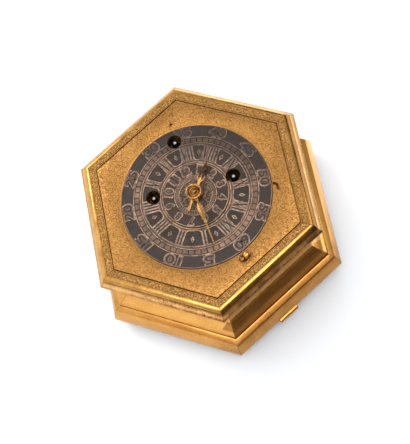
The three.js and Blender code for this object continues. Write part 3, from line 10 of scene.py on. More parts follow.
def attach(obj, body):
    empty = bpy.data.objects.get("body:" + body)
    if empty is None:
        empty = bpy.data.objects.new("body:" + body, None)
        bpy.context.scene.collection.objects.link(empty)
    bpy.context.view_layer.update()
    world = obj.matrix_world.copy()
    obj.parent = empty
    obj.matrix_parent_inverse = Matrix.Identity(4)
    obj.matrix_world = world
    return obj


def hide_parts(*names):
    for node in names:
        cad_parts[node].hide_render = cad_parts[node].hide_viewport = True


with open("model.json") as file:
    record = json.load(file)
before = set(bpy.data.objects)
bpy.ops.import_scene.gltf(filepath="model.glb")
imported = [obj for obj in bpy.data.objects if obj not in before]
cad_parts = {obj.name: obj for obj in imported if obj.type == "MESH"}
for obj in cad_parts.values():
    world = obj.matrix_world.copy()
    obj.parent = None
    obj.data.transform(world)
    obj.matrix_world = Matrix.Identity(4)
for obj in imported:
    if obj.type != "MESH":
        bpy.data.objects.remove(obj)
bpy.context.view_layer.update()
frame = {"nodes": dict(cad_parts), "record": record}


# Top moulding
# Six mitred lengths of gilt brass soldered into one hexagonal frame. The flat band beside the dial plate is
# engraved with running foliage, the ovolo beside it is burnished, and the ledge below it has lost its gilding
# in places, most of all along one side.
MM = 0.001
HEX_SIDES = 6
CORNER = 1 / math.cos(math.pi / HEX_SIDES)
MITRE = math.tan(math.pi / HEX_SIDES)
LAMP_SIDE, SHADED_SIDE = math.radians(30), math.radians(150)
CREASE = 32
GOLD = (208, 154, 78)
GOLD_DEEP = (178, 124, 58)
GOLD_PALE = (232, 188, 116)
GOLD_WORN = (142, 84, 48)
GROOVE = (74, 46, 20)


def screen(colour):
    """A colour as a screen shows it, 0 to 255, in the linear values that a shader takes."""
    shares = [c / 255 for c in colour]
    return tuple(s / 12.92 if s <= 0.04045 else ((s + 0.055) / 1.055) ** 2.4 for s in shares) + (1.0,)


class Nodes:
    """A node tree. Each function adds nodes and gives back an output."""

    def __init__(self, tree):
        self.nodes, self.links = tree.nodes, tree.links

    def put(self, socket, value):
        if isinstance(value, bpy.types.NodeSocket):
            self.links.new(value, socket)
        else:
            socket.default_value = value

    def node(self, kind, entries, **settings):
        """A node with its settings; entries are for its inputs, by name or by place."""
        node = self.nodes.new("ShaderNode" + kind)
        for name, value in settings.items():
            setattr(node, name, value)
        for name, value in entries.items():
            self.put(node.inputs[name], value)
        return node

    def math(self, operation, first, second=0.0):
        return self.node("Math", {0: first, 1: second}, operation=operation).outputs[0]

    def plus(self, first, second):
        return self.math("ADD", first, second)

    def minus(self, first, second):
        return self.math("SUBTRACT", first, second)

    def apart(self, first, second):
        return self.math("ABSOLUTE", self.minus(first, second))

    def times(self, *values):
        return functools.reduce(functools.partial(self.math, "MULTIPLY"), values)

    def most(self, *values):
        return functools.reduce(functools.partial(self.math, "MAXIMUM"), values)

    def split(self, vector):
        return tuple(self.node("SeparateXYZ", {0: vector}).outputs)

    def ramp(self, value, low, high, start=0.0, end=1.0, course="SMOOTHSTEP"):
        """Goes from start to end while the value goes from low to high."""
        entries = dict(enumerate((value, low, high, start, end)))
        return self.node("MapRange", entries, interpolation_type=course).outputs[0]

    def mix(self, share, first, second):
        """Mixes two colours: outputs, three values as a screen shows them, or four linear ones."""
        first, second = (screen(value) if isinstance(value, tuple) and len(value) == 3 else value
                         for value in (first, second))
        return self.node("Mix", {0: share, 6: first, 7: second}, data_type="RGBA").outputs[2]


class Recipe(Nodes):
    """A procedural material in the object's own place; lengths are in mm."""

    def __init__(self, name, metallic=1.0):
        self.material = bpy.data.materials.new(name)
        self.material.use_nodes = True
        super().__init__(self.material.node_tree)
        self.shader = self.nodes["Principled BSDF"]
        self.shader.inputs["Metallic"].default_value = metallic
        where = self.node("TexCoord", {}).outputs["Object"]
        self.place = self.vector("SCALE", where, scale=1 / MM)
        self.x, self.y, self.z = self.split(self.place)
        self.radius = self.from_axis((0, 0))

    def vector(self, operation, first, second=(0, 0, 0), scale=1.0):
        entries = {0: first, 1: second, 3: scale}
        outputs = self.node("VectorMath", entries, operation=operation).outputs
        return outputs["Value" if operation in ("LENGTH", "DOT_PRODUCT") else "Vector"]

    def from_axis(self, centre):
        """Distance from an upright axis."""
        away = self.vector("SUBTRACT", self.place, (*centre, 0))
        return self.vector("LENGTH", self.vector("MULTIPLY", away, (1, 1, 0)))

    def out_to(self, angle):
        """How far out a point lies in a level direction."""
        return self.vector("DOT_PRODUCT", self.place, (math.cos(angle), math.sin(angle), 0))

    def from_middle(self, value):
        """Distance from the middle of each step of 1."""
        return self.apart(self.math("FRACT", value), 0.5)

    def noise(self, size, detail=3.0, rough=0.55, where=None, stretch=None):
        """Soft random values from 0 to 1; size is the width of a spot."""
        where = self.place if where is None else where
        if stretch is not None:
            where = self.vector("MULTIPLY", where, stretch)
        entries = {"Vector": where, "Scale": 1 / size, "Detail": detail, "Roughness": rough}
        return self.node("TexNoise", entries).outputs["Fac"]

    def line(self, value, middle, width, soft=0.08):
        """1 on a line about a value, 0 beside it."""
        return self.ramp(self.apart(value, middle), width / 2, width / 2 + soft, 1.0, 0.0)

    def band(self, value, low, high, soft=0.1):
        """1 between two values, 0 outside them."""
        return self.times(self.ramp(value, low, low + soft), self.ramp(value, high - soft, high, 1.0, 0.0))

    def warped(self, where, size, reach):
        """The place moved about softly, by up to half of reach, so that a pattern looks drawn by hand."""
        cloud = self.node("TexNoise", {"Vector": where, "Scale": 1 / size, "Detail": 2.0}).outputs["Color"]
        away = self.vector("SUBTRACT", cloud, (0.5, 0.5, 0.5))
        return self.vector("ADD", where, self.vector("SCALE", away, scale=reach))

    def curls(self, where, size, pitch, width):
        """Engraved curls: in each cell a line winds about the cell's middle, left or right handed by chance.
        Leaf veins run between the turns, and the graver lifts here and there."""
        entries = {"Vector": where, "Scale": 1 / size, "Randomness": 0.75}
        cells = self.node("TexVoronoi", entries, voronoi_dimensions="2D").outputs
        dx, dy, _ = self.split(self.vector("SUBTRACT", where, cells["Position"]))
        distance = self.math("SQRT", self.plus(self.times(dx, dx), self.times(dy, dy)))
        chance = self.split(cells["Color"])
        hand = self.minus(self.times(self.math("GREATER_THAN", chance[0], 0.5), 2.0), 1.0)
        turn = self.times(self.math("ARCTAN2", dy, dx), hand, 1 / (2 * math.pi))
        phase = self.plus(self.plus(turn, self.times(distance, 1 / pitch)), chance[1])
        stroke = self.ramp(self.from_middle(phase), width, width + 0.18, 1.0, 0.0)
        leaves = self.ramp(self.from_middle(self.times(turn, 6.0)), 0.12, 0.3, 1.0, 0.0)
        veins = self.times(leaves, self.band(distance, size * 0.2, size * 0.62))
        lifted = self.ramp(self.noise(size * 0.4, 2.0, where=where), 0.42, 0.56, 0.15, 1.0)
        return self.times(self.most(stroke, self.times(veins, 0.7)), lifted)

    def tint(self, share, colour):
        """Lays a colour over the colour so far."""
        self.colour = self.mix(share, self.colour, colour)

    def finish(self, roughness, height, depth):
        """Sets the surface; height is what stands up (1) or lies low (0)."""
        entries = {"Height": height, "Distance": depth * MM, "Strength": 1.0}
        bump = self.node("Bump", entries).outputs["Normal"]
        for name, value in (("Base Color", self.colour), ("Roughness", roughness), ("Normal", bump)):
            self.put(self.shader.inputs[name], value)
        return self.material

    def gilding(self, deep, bright, pale, patch=7.0, thin=1.0):
        """Gold that is a little redder where it is thin and paler where it is worn."""
        broad = self.ramp(self.noise(patch, 4.0), 0.36, 0.66, 1.0 - thin, 1.0)
        fine = self.ramp(self.noise(0.9, 3.0, 0.7), 0.3, 0.75)
        colour = self.mix(broad, deep, bright)
        return self.mix(self.times(fine, 0.35), colour, pale)


def placed(name, data):
    """A new object of the scene, at the origin."""
    piece = bpy.data.objects.new(name, data)
    bpy.context.scene.collection.objects.link(piece)
    return piece


def object_from(name, bm, material, smooth=True, sharp=CREASE):
    """Turns a finished bmesh into an object at the origin, faces outward."""
    bmesh.ops.remove_doubles(bm, verts=bm.verts, dist=0.001 * MM)
    bmesh.ops.recalc_face_normals(bm, faces=bm.faces)
    mesh = bpy.data.meshes.new(name)
    bm.to_mesh(mesh)
    bm.free()
    mesh.materials.append(material)
    if smooth:
        mesh.shade_smooth()
        mesh.set_sharp_from_angle(angle=math.radians(sharp))
    return placed(name, mesh)


def spun(bm, profile, steps, closed=True, centre=(0, 0)):
    """Spins a profile of (radius, height) in mm about an upright axis."""
    x, y = centre
    corners = [bm.verts.new(((x + r) * MM, y * MM, z * MM)) for r, z in profile]
    pairs = list(zip(corners, corners[1:]))
    if closed:
        pairs.append((corners[-1], corners[0]))
    edges = [bm.edges.new(pair) for pair in pairs]
    bmesh.ops.spin(bm, geom=corners + edges, cent=(x * MM, y * MM, 0), axis=(0, 0, 1), angle=2 * math.pi,
                   steps=steps, use_merge=True)


def hexagonal(profile):
    """A profile of (distance to the flat side, height) as one of (distance to the corner, height)."""
    return [(apothem * CORNER, z) for apothem, z in profile]


def mitred(name, profile, material):
    """Hexagonal frame from a profile of (distance to the flat side, height). Its UV map holds, in mm, how far
    a point is along its side and how far from the middle, so that a finish can follow each length."""
    bm = bmesh.new()
    spun(bm, hexagonal(profile), HEX_SIDES)
    laid = bm.loops.layers.uv.new("lengths")
    for face in bm.faces:
        middle = face.calc_center_median()
        side = (math.floor(math.atan2(middle.y, middle.x) / (math.pi / 3)) + 0.5) * math.pi / 3
        out = Vector((math.cos(side), math.sin(side)))
        for loop in face.loops:
            point = loop.vert.co.xy
            loop[laid].uv = ((out.x * point.y - out.y * point.x) / MM, point.dot(out) / MM)
    return object_from(name, bm, material)


def quarter(start, width, drop, steps=9):
    """Ovolo: level at its start and upright at its end."""
    (x, z) = start
    angles = [math.pi / 2 * i / steps for i in range(steps + 1)]
    return [(x + width * math.sin(a), z - drop * (1 - math.cos(a))) for a in angles]


def along_side(r):
    """The place on a mitred length, its parts along and across it, and 1 on the mitre's seam."""
    uv = r.node("UVMap", {}, uv_map="lengths").outputs["UV"]
    along, across, _ = r.split(uv)
    rest = r.minus(r.times(across, MITRE), r.math("ABSOLUTE", along))
    return uv, along, across, r.ramp(rest, 0.05, 0.16, 1.0, 0.0)


def lost_gilding(r, low, high):
    """1 where the gilding is worn away: patches on the ledge of one side, more near its lower corner."""
    toward_corner = r.ramp(r.out_to(LAMP_SIDE + math.pi / 2), -30, 26, 0.25, 1.0)
    patches = r.ramp(r.noise(3.2, 6.0, 0.72), 0.4, 0.56)
    on_side = r.ramp(r.out_to(LAMP_SIDE), 48.2, 49.6)
    return r.times(on_side, toward_corner, patches, r.band(r.z, low, high, 0.3))


def top_moulding_finish():
    """Engraved border, burnished ovolo, a ledge that has lost its gilding along one side, and painted shade
    on the side towards X.
    """
    r = Recipe("gilt_engraved_moulding")
    uv, _, across, seam = along_side(r)
    border = r.times(r.band(across, 43.9, 46.9), r.ramp(r.z, 54.7, 54.85))
    foliage = r.curls(r.warped(uv, 1.2, 0.9), 2.1, 0.9, 0.15)
    frame_lines = r.most(r.line(across, 44.05, 0.16), r.line(across, 46.8, 0.16))
    cut = r.most(r.times(foliage, r.band(across, 44.2, 46.65)), frame_lines)
    engraved = r.times(cut, border)
    worn = lost_gilding(r, 48.2, 52.0)
    grain = r.noise(0.5, 2.0, 0.6, where=uv, stretch=(0.12, 1.6, 1.0))
    r.colour = r.gilding(GOLD_DEEP, GOLD, GOLD_PALE)
    flecks = r.times(border, r.ramp(r.noise(0.8, 2.0, 0.5), 0.5, 0.62))
    r.tint(r.times(border, 0.5), (158, 112, 62))
    r.tint(r.times(flecks, 0.5), (224, 184, 124))
    r.tint(r.times(engraved, 0.8), (104, 64, 26))
    # Painted shade: the outer parts of the side towards X are darker.
    r.tint(r.times(r.ramp(r.out_to(SHADED_SIDE), 46.9, 47.6), 0.55), (112, 70, 30))
    ledge = r.times(r.band(across, 49.9, 51.4, 0.3), r.band(r.z, 50.3, 51.6, 0.2))
    r.tint(r.times(ledge, 0.5), (240, 196, 140))
    fascia = r.times(r.ramp(across, 51.5, 51.65), r.band(r.z, 48.8, 50.1, 0.1))
    r.tint(r.times(fascia, 0.6), (150, 98, 50))
    r.tint(r.times(worn, r.ramp(ledge, 0.0, 1.0, 0.8, 0.4)), GOLD_WORN)
    pits = r.times(worn, r.ramp(r.noise(0.8, 2.0), 0.6, 0.68))
    quirk = r.times(r.band(across, 49.2, 49.6, 0.1), r.band(r.z, 51.9, 52.4, 0.1))
    r.tint(r.most(r.times(seam, 0.55), pits, r.times(quirk, 0.6)), GROOVE)
    rough = r.plus(r.ramp(r.noise(4.0), 0.3, 0.7, 0.2, 0.34), r.times(r.most(worn, engraved), 0.3))
    low = r.most(engraved, seam, pits)
    height = r.plus(r.minus(1.0, low), r.times(grain, 0.1))
    return r.finish(rough, height, 0.12)


TOP_PROFILE = [
    (43.6, 54.9), (43.7, 55.0), *quarter((47.1, 55.0), 2.35, 2.5), (49.4, 52.3), (49.55, 52.05), (50.1, 51.4),
    (50.75, 50.85), (51.4, 50.4), (51.7, 50.15), (51.75, 49.95), (51.75, 49.1), (51.6, 49.0), (47.0, 47.5),
    (43.6, 47.5), (43.6, 51.7), (41.3, 51.7), (41.3, 53.2), (43.6, 53.2),
]
top_moulding = mitred("top_moulding_gilt", TOP_PROFILE, top_moulding_finish())
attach(top_moulding, "case")
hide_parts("top_moulding")


# Case wall
# Gilt brass sheet bent and mitred round the waist, straight under a small neck and swept out below as a
# cavetto. It is burnished and shows long soft reflections, fine wipe marks and a few pits.
def moulding_finish(name, wear_low, wear_high, brown_reflection=0.0):
    """Burnished gilding: wipe marks, pits where a side is worn, painted shade in the hollow and on the shelf.
    """
    r = Recipe(name)
    uv, along, _, seam = along_side(r)
    r.colour = r.gilding((186, 122, 54), (220, 163, 84), (240, 196, 124), 9.0, 0.4)
    wipe = r.noise(0.7, 2.0, 0.6, where=uv, stretch=(0.07, 1.0, 1.0))
    r.tint(r.times(r.ramp(wipe, 0.45, 0.8), 0.16), GOLD_DEEP)
    worn_side = r.times(r.ramp(r.out_to(LAMP_SIDE), 40, 43), r.ramp(along, 2, 18))
    near = r.times(worn_side, r.band(r.z, wear_low, wear_high, 2.0))
    pits = r.times(r.ramp(r.noise(0.75, 2.0, 0.4), 0.62, 0.7), r.plus(r.times(near, 0.9), 0.08))
    # Painted shade in the hollow of the side towards XII.
    hollow = r.times(r.ramp(r.y, 44, 44.4), r.band(r.z, 19.3, 23.0, 0.8))
    r.tint(r.times(hollow, 0.6), (104, 58, 18))
    # Painted shade on the base's shelf along the side towards X.
    shelf = r.times(r.ramp(r.out_to(SHADED_SIDE), 51.0, 51.4), r.band(r.z, 16.1, 17.0, 0.1))
    r.tint(r.times(shelf, 0.6), (126, 84, 38))
    # Painted brown reflection along the side towards XII, as strong as the last argument asks.
    brown = r.times(r.ramp(r.y, 46, 50), r.ramp(r.noise(6.0, 4.0, 0.6), 0.3, 0.6, 0.55, 1.0), brown_reflection)
    r.tint(brown, (150, 96, 44))
    stain = r.times(r.ramp(r.noise(5.0, 5.0, 0.7), 0.6, 0.74), 0.45)
    r.tint(stain, (160, 96, 44))
    r.tint(r.most(r.times(seam, 0.5), pits), GROOVE)
    rough = r.plus(r.ramp(wipe, 0.3, 0.8, 0.27, 0.34), r.times(pits, 0.3))
    height = r.minus(r.times(wipe, 0.04), r.most(seam, pits))
    return r.finish(rough, height, 0.1)


def arc(centre, radius, start, end, steps):
    """Points of an arc; start and end are in degrees."""
    turns = [math.radians(start + (end - start) * i / steps) for i in range(steps + 1)]
    return [(centre[0] + radius * math.cos(a), centre[1] + radius * math.sin(a)) for a in turns]


CAVETTO = [(44.4, 28.6), *arc((52.0, 27.2), 7.6, 180, 234, 12), (49.2, 19.75), (50.85, 18.6)]
WALL_PROFILE = [
    (42.6, 47.5), (46.0, 47.5), (46.0, 46.95), *arc((46.0, 43.9), 1.6, 110, 180, 7), *CAVETTO,
    (50.95, 18.45), (51.0, 16.2), (48.5, 15.2), (42.8, 24.0),
]
case_wall = mitred("case_wall_gilt", WALL_PROFILE, moulding_finish("gilt_waist", 36, 47))
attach(case_wall, "case")
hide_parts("case_wall")


# Base moulding
# Cast and filed brass, gilt: a fillet, a flat shelf and a swelling face, in six lengths mitred at the
# corners and soldered under the wall.
BASE_PROFILE = [
    (48.5, 15.0), (50.9, 16.2), (51.05, 17.2), (51.2, 16.8), (51.4, 16.55), (51.75, 16.4), (53.9, 16.34),
    (54.1, 16.15), (54.5, 15.3), (55.0, 14.1), (55.5, 12.8), (55.9, 11.5), (56.2, 10.2), (56.4, 8.9),
    (56.4, 7.8), (56.2, 7.2), (55.7, 7.0), (48.5, 7.0),
]
base_finish = moulding_finish("gilt_base", 7, 15, 0.45)
base_moulding = mitred("base_moulding_gilt", BASE_PROFILE, base_finish)
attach(base_moulding, "case")
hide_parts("base_moulding")


# Bottom cover and hinge
# A gilt plate that closes the case from below, with a lip that registers inside the base and the middle
# knuckle of the hinge. The outer knuckles are soldered to the base; a steel pin runs through all three.
def plain_gilt(name, deep, bright, pale, low_rough, high_rough):
    """Smooth gilding with soft wipe marks and small stains."""
    r = Recipe(name)
    r.colour = r.gilding(deep, bright, pale, 6.0)
    wipe = r.noise(1.2, 3.0, 0.6, stretch=(1.0, 0.2, 1.0))
    marks = r.ramp(r.noise(1.6, 6.0, 0.75), 0.62, 0.72)
    r.tint(r.times(marks, 0.5), (138, 86, 40))
    rough = r.ramp(wipe, 0.3, 0.75, low_rough, high_rough)
    height = r.minus(r.times(wipe, 0.3), r.times(marks, 0.4))
    return r.finish(rough, height, 0.05)


def lathed(name, profile, steps, material, closed=True, centre=(0, 0), sharp=CREASE):
    """A piece spun from one profile."""
    bm = bmesh.new()
    spun(bm, profile, steps, closed, centre)
    return object_from(name, bm, material, sharp=sharp)


def lying_bar(bm, radius, start, end, y, z, steps=20):
    """Round bar along X, in mm."""
    middle = Matrix.Translation(((start + end) / 2 * MM, y * MM, z * MM))
    bmesh.ops.create_cone(bm, cap_ends=True, segments=steps, radius1=radius * MM, radius2=radius * MM,
                          depth=(end - start) * MM, matrix=middle @ Matrix.Rotation(math.pi / 2, 4, "Y"))


HINGE_MIDDLE, HINGE_Y, HINGE_Z = 2.4, 56.5, 7.0
KNUCKLE_RADIUS, KNUCKLE_GAP, HINGE_WIDTH = 1.3, 0.15, 10.7
KNUCKLE_END = HINGE_WIDTH / 2
KNUCKLE_JOINT = HINGE_WIDTH / 6
COVER_PROFILE = [(0, 5.0), (55.0, 5.0), (55.35, 5.1), (55.65, 5.35), (55.8, 5.8), (55.8, 7.0), (0, 7.0)]
LIP_PROFILE = [(46.8, 6.5), (48.1, 6.5), (48.1, 8.25), (47.95, 8.4), (46.95, 8.4), (46.8, 8.25)]
cover_finish = plain_gilt("gilt_cover", GOLD_DEEP, GOLD, GOLD_PALE, 0.24, 0.42)
bottom_cover = lathed("bottom_cover_plate", hexagonal(COVER_PROFILE), HEX_SIDES, cover_finish, closed=False)
cover_lip = lathed("cover_lip", hexagonal(LIP_PROFILE), HEX_SIDES, cover_finish)
bm = bmesh.new()
lying_bar(bm, KNUCKLE_RADIUS, HINGE_MIDDLE - KNUCKLE_JOINT, HINGE_MIDDLE + KNUCKLE_JOINT, HINGE_Y, HINGE_Z)
cover_knuckle = object_from("cover_knuckle", bm, cover_finish)
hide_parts("bottom_cover")
for piece in (bottom_cover, cover_lip, cover_knuckle):
    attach(piece, "cover")

bm = bmesh.new()
for start, end in ((-KNUCKLE_END, -KNUCKLE_JOINT - KNUCKLE_GAP), (KNUCKLE_JOINT + KNUCKLE_GAP, KNUCKLE_END)):
    lying_bar(bm, KNUCKLE_RADIUS, HINGE_MIDDLE + start, HINGE_MIDDLE + end, HINGE_Y, HINGE_Z)
hinge_finish = plain_gilt("gilt_hinge", GOLD_DEEP, GOLD, GOLD_PALE, 0.24, 0.4)
case_knuckles = object_from("case_knuckles", bm, hinge_finish)
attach(case_knuckles, "case")


# Feet
# Six turned and gilt bun feet, screwed to the cover under the corners. The clock stands on their small flat
# soles.
def circle(radius, centre=(0, 0), steps=144):
    """Outline of a circle."""
    return arc(centre, radius, 0, 360 - 360 / steps, steps - 1)


FOOT_CIRCLE = 50.0
FOOT_PROFILE = [(0, 0), (2.4, 0), (3.4, 0.35), (4.3, 1.0), (4.75, 1.8), (4.75, 2.5), (4.3, 3.3), (3.4, 3.9),
                (2.7, 4.2), (2.64, 5.0), (0, 5.0)]
foot_finish = plain_gilt("gilt_feet", (186, 126, 58), (226, 170, 86), (246, 204, 128), 0.2, 0.34)
for i, centre in enumerate(circle(FOOT_CIRCLE, steps=HEX_SIDES)):
    foot = lathed(f"foot_turned_{i + 1}", FOOT_PROFILE, 28, foot_finish, closed=False, centre=centre)
    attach(foot, "cover")
    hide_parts(f"foot_{i + 1}")


# Dial plate
# One hexagonal gilt plate that drops flush into the top moulding, engraved all over with dense scrolling
# foliage. It is sunk for the chapter disc, drilled for the winding squares, two pins, the catch and the
# silence lever, and carries three feet for the movement below and a hooked tongue that holds it at VI.
PLATE_APOTHEM = 43.3
PLATE_TOP, PLATE_BOTTOM, SINK_FLOOR = 55.0, 53.2, 54.4
DRILL_LENGTH = 30


def cut_sheet(name, outlines, low, high, material, edge=0.0):
    """Flat sheet between two heights in mm; the first outline is its outside, the others are openings."""
    curve = bpy.data.curves.new(name, "CURVE")
    curve.dimensions = "2D"
    curve.fill_mode = "BOTH"
    curve.extrude = ((high - low) / 2 - edge) * MM
    curve.bevel_depth = edge * MM
    curve.bevel_resolution = 1
    curve.offset = -edge * MM
    for points in outlines:
        spline = curve.splines.new("POLY")
        spline.points.add(len(points) - 1)
        for corner, (x, y) in zip(spline.points, points):
            corner.co = (x * MM, y * MM, 0, 1)
        spline.use_cyclic_u = True
    return solid_from(name, curve, (low + high) / 2, material)


def solid_from(name, curve, height, material):
    """Makes the mesh of a curve or a text, and sets it at its height."""
    holder = placed(name + "_lines", curve)
    bpy.context.view_layer.update()
    drawn = bpy.data.meshes.new_from_object(holder.evaluated_get(bpy.context.evaluated_depsgraph_get()))
    bm = bmesh.new()
    bm.from_mesh(drawn)
    bpy.data.objects.remove(holder)
    bpy.data.meshes.remove(drawn)
    bm.transform(Matrix.Translation((0, 0, height * MM)))
    return object_from(name, bm, material)


def hexagon(apothem):
    """Hexagon with a flat side towards XII, from the distance to its sides."""
    return circle(apothem * CORNER, steps=HEX_SIDES)


def drilled(piece, holes):
    """Cuts upright round holes, given as (centre, radius), through a piece."""
    bm = bmesh.new()
    for (x, y), radius in holes:
        bmesh.ops.create_cone(bm, cap_ends=True, segments=48, radius1=radius * MM, radius2=radius * MM,
                              depth=DRILL_LENGTH * MM,
                              matrix=Matrix.Translation((x * MM, y * MM, PLATE_TOP * MM)))
    mesh = bpy.data.meshes.new("drill")
    bm.to_mesh(mesh)
    bm.free()
    drill = placed("drill", mesh)
    cut = piece.modifiers.new("holes", "BOOLEAN")
    cut.object = drill
    cut.solver = "EXACT"
    cut.use_self = True
    bpy.context.view_layer.update()
    made = bpy.data.meshes.new_from_object(piece.evaluated_get(bpy.context.evaluated_depsgraph_get()))
    piece.modifiers.clear()
    old = piece.data
    piece.data = made
    bpy.data.meshes.remove(old)
    bpy.data.objects.remove(drill)
    made.shade_smooth()
    made.set_sharp_from_angle(angle=math.radians(CREASE))


DIAL_RADIUS = 35.0
WINDING_HOLES = [((-18.55, 5.05), 3.4), ((14.7, -13.2), 3.4), ((-10.3, -27.2), 3.4)]
PIN_HOLES = [((-15.05, -35.45), 0.6), ((32.7, 32.2), 0.6)]
KNOB_CENTRE = (4.0, 38.2)
LEVER_PIVOT, LEVER_PIN = (-21.0, 16.9), (-28.8, 24.4)
LEVER_TRAVEL = 12
SLOT_HALF, STEM_HOLE, CENTRE_HOLE = 0.9, 1.2, 2.3
PLATE_FOOT_CIRCLE, PLATE_FOOT_ANGLES = 34, (20, 180, 300)
PLATE_FOOT_PROFILE = [(0, 47.2), (1.4, 47.2), (1.5, 47.3), (1.5, 53.3), (0, 53.3)]
TONGUE = (0, -40.4, 51.9), (8, 1.2, 2.8)
TONGUE_HOOK = (0, -41.9, 50.8), (8, 2.8, 1.2)


def box(bm, middle, size):
    """Upright box in mm."""
    place = Matrix.Translation([m * MM for m in middle]) @ Matrix.Diagonal([d * MM for d in size] + [1])
    bmesh.ops.create_cube(bm, size=1.0, matrix=place)


def lever_slot():
    """Outline of the curved slot that the silence lever's pin moves in."""
    reach = math.dist(LEVER_PIVOT, LEVER_PIN)
    start = math.degrees(math.atan2(LEVER_PIN[1] - LEVER_PIVOT[1], LEVER_PIN[0] - LEVER_PIVOT[0]))
    spare = math.degrees(SLOT_HALF / reach)
    first, last = start - spare, start + LEVER_TRAVEL + spare
    outer = arc(LEVER_PIVOT, reach + SLOT_HALF, first, last, 10)
    return outer + arc(LEVER_PIVOT, reach - SLOT_HALF, last, first, 10)


def plate_finish():
    """Large and small scrolls over a matted ground, dark where the graver cut; painted shade at its edge and
    in the winding holes.
    """
    r = Recipe("gilt_engraved_plate")
    drawn = r.warped(r.warped(r.place, 4.0, 1.8), 1.3, 0.5)
    scrolls = r.curls(drawn, 3.7, 1.2, 0.13)
    small = r.curls(r.vector("ADD", drawn, (31.0, 17.0, 0.0)), 2.1, 0.85, 0.12)
    ground = r.ramp(r.noise(0.6, 3.0, 0.6), 0.36, 0.68)
    rims = r.most(r.line(r.radius, DIAL_RADIUS + 0.9, 0.14), r.line(r.radius, DIAL_RADIUS + 1.5, 0.1))
    cut = r.most(r.times(scrolls, 0.9), r.times(small, 0.6), r.times(rims, 0.6))
    cut = r.times(cut, r.ramp(r.radius, DIAL_RADIUS + 0.45, DIAL_RADIUS + 0.6), r.ramp(r.z, 54.7, 54.9))
    facing = [r.math("ABSOLUTE", r.out_to(LAMP_SIDE + math.pi / 3 * i)) for i in range(3)]
    # Painted shade along the plate's edge against the moulding.
    rim_shade = r.ramp(r.most(*facing), PLATE_APOTHEM - 0.38, PLATE_APOTHEM - 0.15)
    r.colour = r.gilding((176, 124, 64), (192, 140, 76), (214, 168, 104), 9.0, 0.7)
    r.tint(r.times(ground, 0.3), (160, 110, 56))
    r.tint(r.times(cut, 0.72), (112, 70, 28))
    r.tint(r.times(rim_shade, 0.85), (70, 42, 18))
    dirt = r.ramp(r.noise(1.4, 5.0, 0.75), 0.66, 0.72)
    r.tint(r.times(dirt, 0.7), (96, 58, 26))
    # Painted shade in and about the winding holes.
    for centre, radius in WINDING_HOLES:
        bore_shade = r.ramp(r.from_axis(centre), radius + 0.05, radius + 0.4, 0.95, 0.0)
        r.tint(bore_shade, (20, 14, 10))
    rough = r.plus(r.ramp(r.noise(6.0), 0.35, 0.65, 0.32, 0.4), r.times(cut, 0.12))
    height = r.minus(r.times(ground, 0.25), cut)
    return r.finish(rough, height, 0.09)


gilt_plate = plate_finish()
plate_holes = PIN_HOLES + [(KNOB_CENTRE, STEM_HOLE)]
plate_face = cut_sheet("dial_plate_face", [hexagon(PLATE_APOTHEM), circle(DIAL_RADIUS + 0.15)], SINK_FLOOR,
                       PLATE_TOP, gilt_plate, 0.06)
plate_floor = cut_sheet("dial_plate_floor", [hexagon(PLATE_APOTHEM - 0.05), circle(CENTRE_HOLE),
                                             lever_slot()], PLATE_BOTTOM, SINK_FLOOR, gilt_plate)
drilled(plate_face, plate_holes)
drilled(plate_floor, plate_holes + WINDING_HOLES)
bm = bmesh.new()
for angle in PLATE_FOOT_ANGLES:
    centre = arc((0, 0), PLATE_FOOT_CIRCLE, angle, angle, 1)[0]
    spun(bm, PLATE_FOOT_PROFILE, 16, closed=False, centre=centre)
box(bm, *TONGUE)
box(bm, *TONGUE_HOOK)
plate_feet = object_from("dial_plate_feet", bm, gilt_plate)
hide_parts("dial_plate")
for piece in (plate_face, plate_floor, plate_feet):
    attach(piece, "case")


# Chapter disc
# A round silvered disc, now dark with oxide, cut in champleve: the grounds between the minute numerals and
# between the hour numerals are sunk and nearly black, the numerals stand on raised pads and are themselves
# engraved and filled with black wax. Rubbing has laid the coppery metal bare on the raised parts.
GROUND_TOP, FIELD_TOP = 55.36, 55.5
RIM_OUTER, RIM_INNER = 34.95, 34.45
MINUTE_RING_INNER = 29.25
RESERVE_OUTER, HOUR_INNER = 24.6, 17.6
ALARM_OPENING = 15.9
PAD = (132, 102, 84)
PAD_BRIGHT = (168, 132, 108)
PAD_DARK = (76, 62, 52)
EDGE_LIGHT = (204, 170, 142)
INK = (22, 15, 12)
TARNISHED_SIDE = math.radians(216.87)
BRIGHT_RINGS, RING_HALF = (16.25, 26.0, 29.0), 0.13
DIAL_PIN_HOLE = ((-26.15, 17.65), 0.5)


def tarnished_side(r):
    """The dial has darkened most about 39 minutes, in clouds."""
    clouds = r.plus(r.out_to(TARNISHED_SIDE), r.times(r.noise(9.0, 3.0), 24))
    return r.times(r.ramp(clouds, 16, 38), r.ramp(r.radius, 15, 20))


def silver_finish(name, marks):
    """Raised metal of the dial; marks tells a recipe where its engraved lines are."""
    r = Recipe(name, metallic=0.55)
    worn = r.ramp(r.noise(7.0, 4.0, 0.6), 0.34, 0.68)
    fine = r.ramp(r.noise(0.7, 4.0, 0.7), 0.35, 0.7)
    r.colour = r.mix(worn, PAD_DARK, PAD)
    r.tint(r.times(fine, 0.4), PAD_BRIGHT)
    r.tint(r.times(tarnished_side(r), 0.7), (56, 47, 42))
    lines = marks(r)
    r.tint(r.times(lines, 0.85), INK)
    rough = r.ramp(fine, 0.0, 1.0, 0.38, 0.55)
    height = r.minus(r.times(fine, 0.2), lines)
    return r.finish(rough, height, 0.08)


def edge_finish():
    """Narrow raised edges, worn bright, that gather dirt in places."""
    r = Recipe("rubbed_edges", metallic=0.6)
    dirt = r.ramp(r.noise(2.2, 5.0, 0.7), 0.4, 0.62)
    r.colour = r.mix(dirt, EDGE_LIGHT, (112, 90, 74))
    r.tint(r.times(tarnished_side(r), 0.6), (70, 58, 52))
    return r.finish(r.ramp(dirt, 0.0, 1.0, 0.34, 0.5), r.noise(0.5, 2.0), 0.03)


